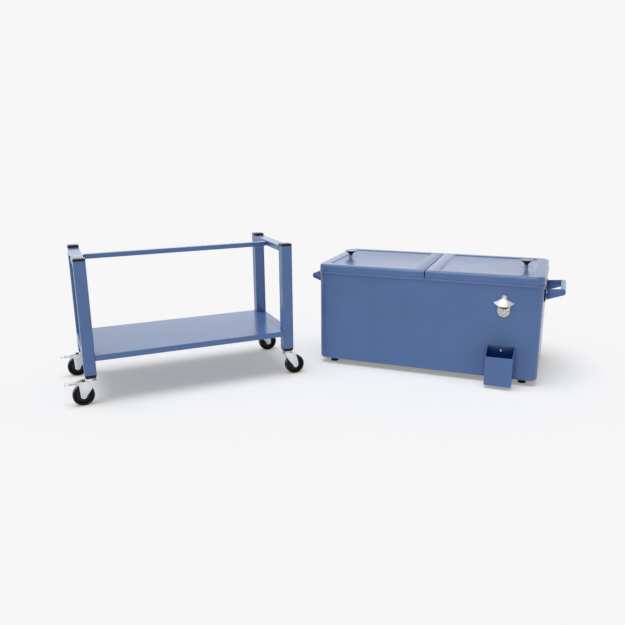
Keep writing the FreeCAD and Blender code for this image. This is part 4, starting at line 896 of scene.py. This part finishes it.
def makeFloor():
    size = 60.0     # half the floor's side
    corners = np.array([[-1, -1, 0], [1, -1, 0], [1, 1, 0], [-1, 1, 0]]) * size
    mesh = bpy.data.meshes.new("floor")
    mesh.from_pydata(corners.tolist(), [], [(0, 1, 2, 3)])
    ground = bpy.data.objects.new("floor", mesh)
    scene.collection.objects.link(ground)
    look = Shader("paleFloor")
    lit = stageLook["dome"] + stageLook["sunStrength"] * sunDirection()[2] / math.pi
    glow = np.array(stageLook["floorGlow"])
    look.put(Base_Color=(*(stageLook["seen"] * (1 - glow) / lit), 1), Roughness=1.0,
             Emission_Color=(*glow, 1), Emission_Strength=stageLook["seen"])
    look.surface.inputs["Specular IOR Level"].default_value = 0.0
    mesh.materials.append(look.material)


def sunDirection():
    # where the light comes from: tilted towards -X and -Y from straight above
    side, front = (math.tan(math.radians(tilt)) for tilt in stageLook["sunTilt"])
    return Vector((side, front, 1)).normalized()


def makeSun():
    lamp = bpy.data.lights.new("softKey", "SUN")
    lamp.energy = stageLook["sunStrength"]
    lamp.angle = math.radians(stageLook["sunSpread"])
    sun = bpy.data.objects.new("softKey", lamp)
    scene.collection.objects.link(sun)
    sun.rotation_euler = sunDirection().to_track_quat("Z", "Y").to_euler()


def makeSky():
    world = bpy.data.worlds.new("softBox")
    world.use_nodes = True
    scene.world = world
    tree = world.node_tree
    path = tree.nodes.new("ShaderNodeLightPath")

    def light(strength):
        made = tree.nodes.new("ShaderNodeBackground")
        made.inputs["Color"].default_value = (1, 1, 1, 1)
        made.inputs["Strength"].default_value = strength
        return made

    def add(first, second):
        both = tree.nodes.new("ShaderNodeMath")
        tree.links.new(first, both.inputs[0])
        tree.links.new(second, both.inputs[1])
        return both.outputs["Value"]

    def mirror():
        # brightness falls from the horizon to overhead, is higher over the left third, and has one lamp
        made = light(1.0)
        place = tree.nodes.new("ShaderNodeTexCoord")
        way = tree.nodes.new("ShaderNodeSeparateXYZ")
        tree.links.new(place.outputs["Generated"], way.inputs["Vector"])
        rise = tree.nodes.new("ShaderNodeMapRange")
        rise.inputs["To Min"].default_value = stageLook["mirrorLow"]
        rise.inputs["To Max"].default_value = stageLook["mirrorHigh"]
        side = tree.nodes.new("ShaderNodeMapRange")
        side.inputs["From Min"].default_value = -0.4
        side.inputs["From Max"].default_value = -0.08
        side.inputs["To Min"].default_value = stageLook["mirrorLeft"]
        side.inputs["To Max"].default_value = 0
        aim = tree.nodes.new("ShaderNodeVectorMath")
        aim.operation = "DOT_PRODUCT"
        aim.inputs[1].default_value = Vector(stageLook["lampWay"]).normalized()
        lamp = tree.nodes.new("ShaderNodeMapRange")
        lamp.inputs["From Min"].default_value = 0.95
        lamp.inputs["From Max"].default_value = 0.98
        lamp.inputs["To Max"].default_value = stageLook["mirrorLamp"]
        tree.links.new(place.outputs["Generated"], aim.inputs[0])
        tree.links.new(aim.outputs["Value"], lamp.inputs["Value"])
        tree.links.new(way.outputs["Z"], rise.inputs["Value"])
        tree.links.new(way.outputs["X"], side.inputs["Value"])
        tree.links.new(add(add(rise.outputs["Result"], side.outputs["Result"]), lamp.outputs["Result"]),
                       made.inputs["Strength"])
        return made

    def choose(flag, no, yes):
        mix = tree.nodes.new("ShaderNodeMixShader")
        tree.links.new(path.outputs[flag], mix.inputs["Fac"])
        tree.links.new(no.outputs[0], mix.inputs[1])
        tree.links.new(yes.outputs[0], mix.inputs[2])
        return mix

    shine = choose("Is Glossy Ray", light(stageLook["dome"]), mirror())
    seen = choose("Is Camera Ray", shine, light(stageLook["seen"]))
    tree.links.new(seen.outputs[0], tree.nodes["World Output"].inputs["Surface"])


cameraPose = {
    "fromBox": (0.4450, -2.4137, 0.8295),    # from the middle of the box's plan, on the floor
    "heading": (-0.36656, 0.93039),
    "pitchDown": 14.863,
    "roll": -0.516,
    "lens": 36.864,
}


def makeCamera():
    pitch = math.radians(cameraPose["pitchDown"])
    roll = math.radians(cameraPose["roll"])
    ahead = Vector((*cameraPose["heading"], 0)).normalized()
    forward = ahead * math.cos(pitch) + Vector((0, 0, -math.sin(pitch)))
    right = forward.cross(Vector((0, 0, 1))).normalized()
    up = right.cross(forward)
    rolledRight = right * math.cos(roll) + up * math.sin(roll)
    rolledUp = up * math.cos(roll) - right * math.sin(roll)
    lens = bpy.data.cameras.new("camera")
    lens.lens = cameraPose["lens"]
    lens.sensor_width = 36.0
    camera = bpy.data.objects.new("camera", lens)
    scene.collection.objects.link(camera)
    turned = Matrix((rolledRight, rolledUp, -forward)).transposed().to_4x4()
    place = Vector((boxMiddle[0], boxMiddle[1], 0)) + Vector(cameraPose["fromBox"])
    camera.matrix_world = Matrix.Translation(place) @ turned
    scene.camera = camera


makeFloor()
makeSun()
makeSky()
makeCamera()
scene.view_settings.view_transform = "Standard"
print("floor, light and camera placed")
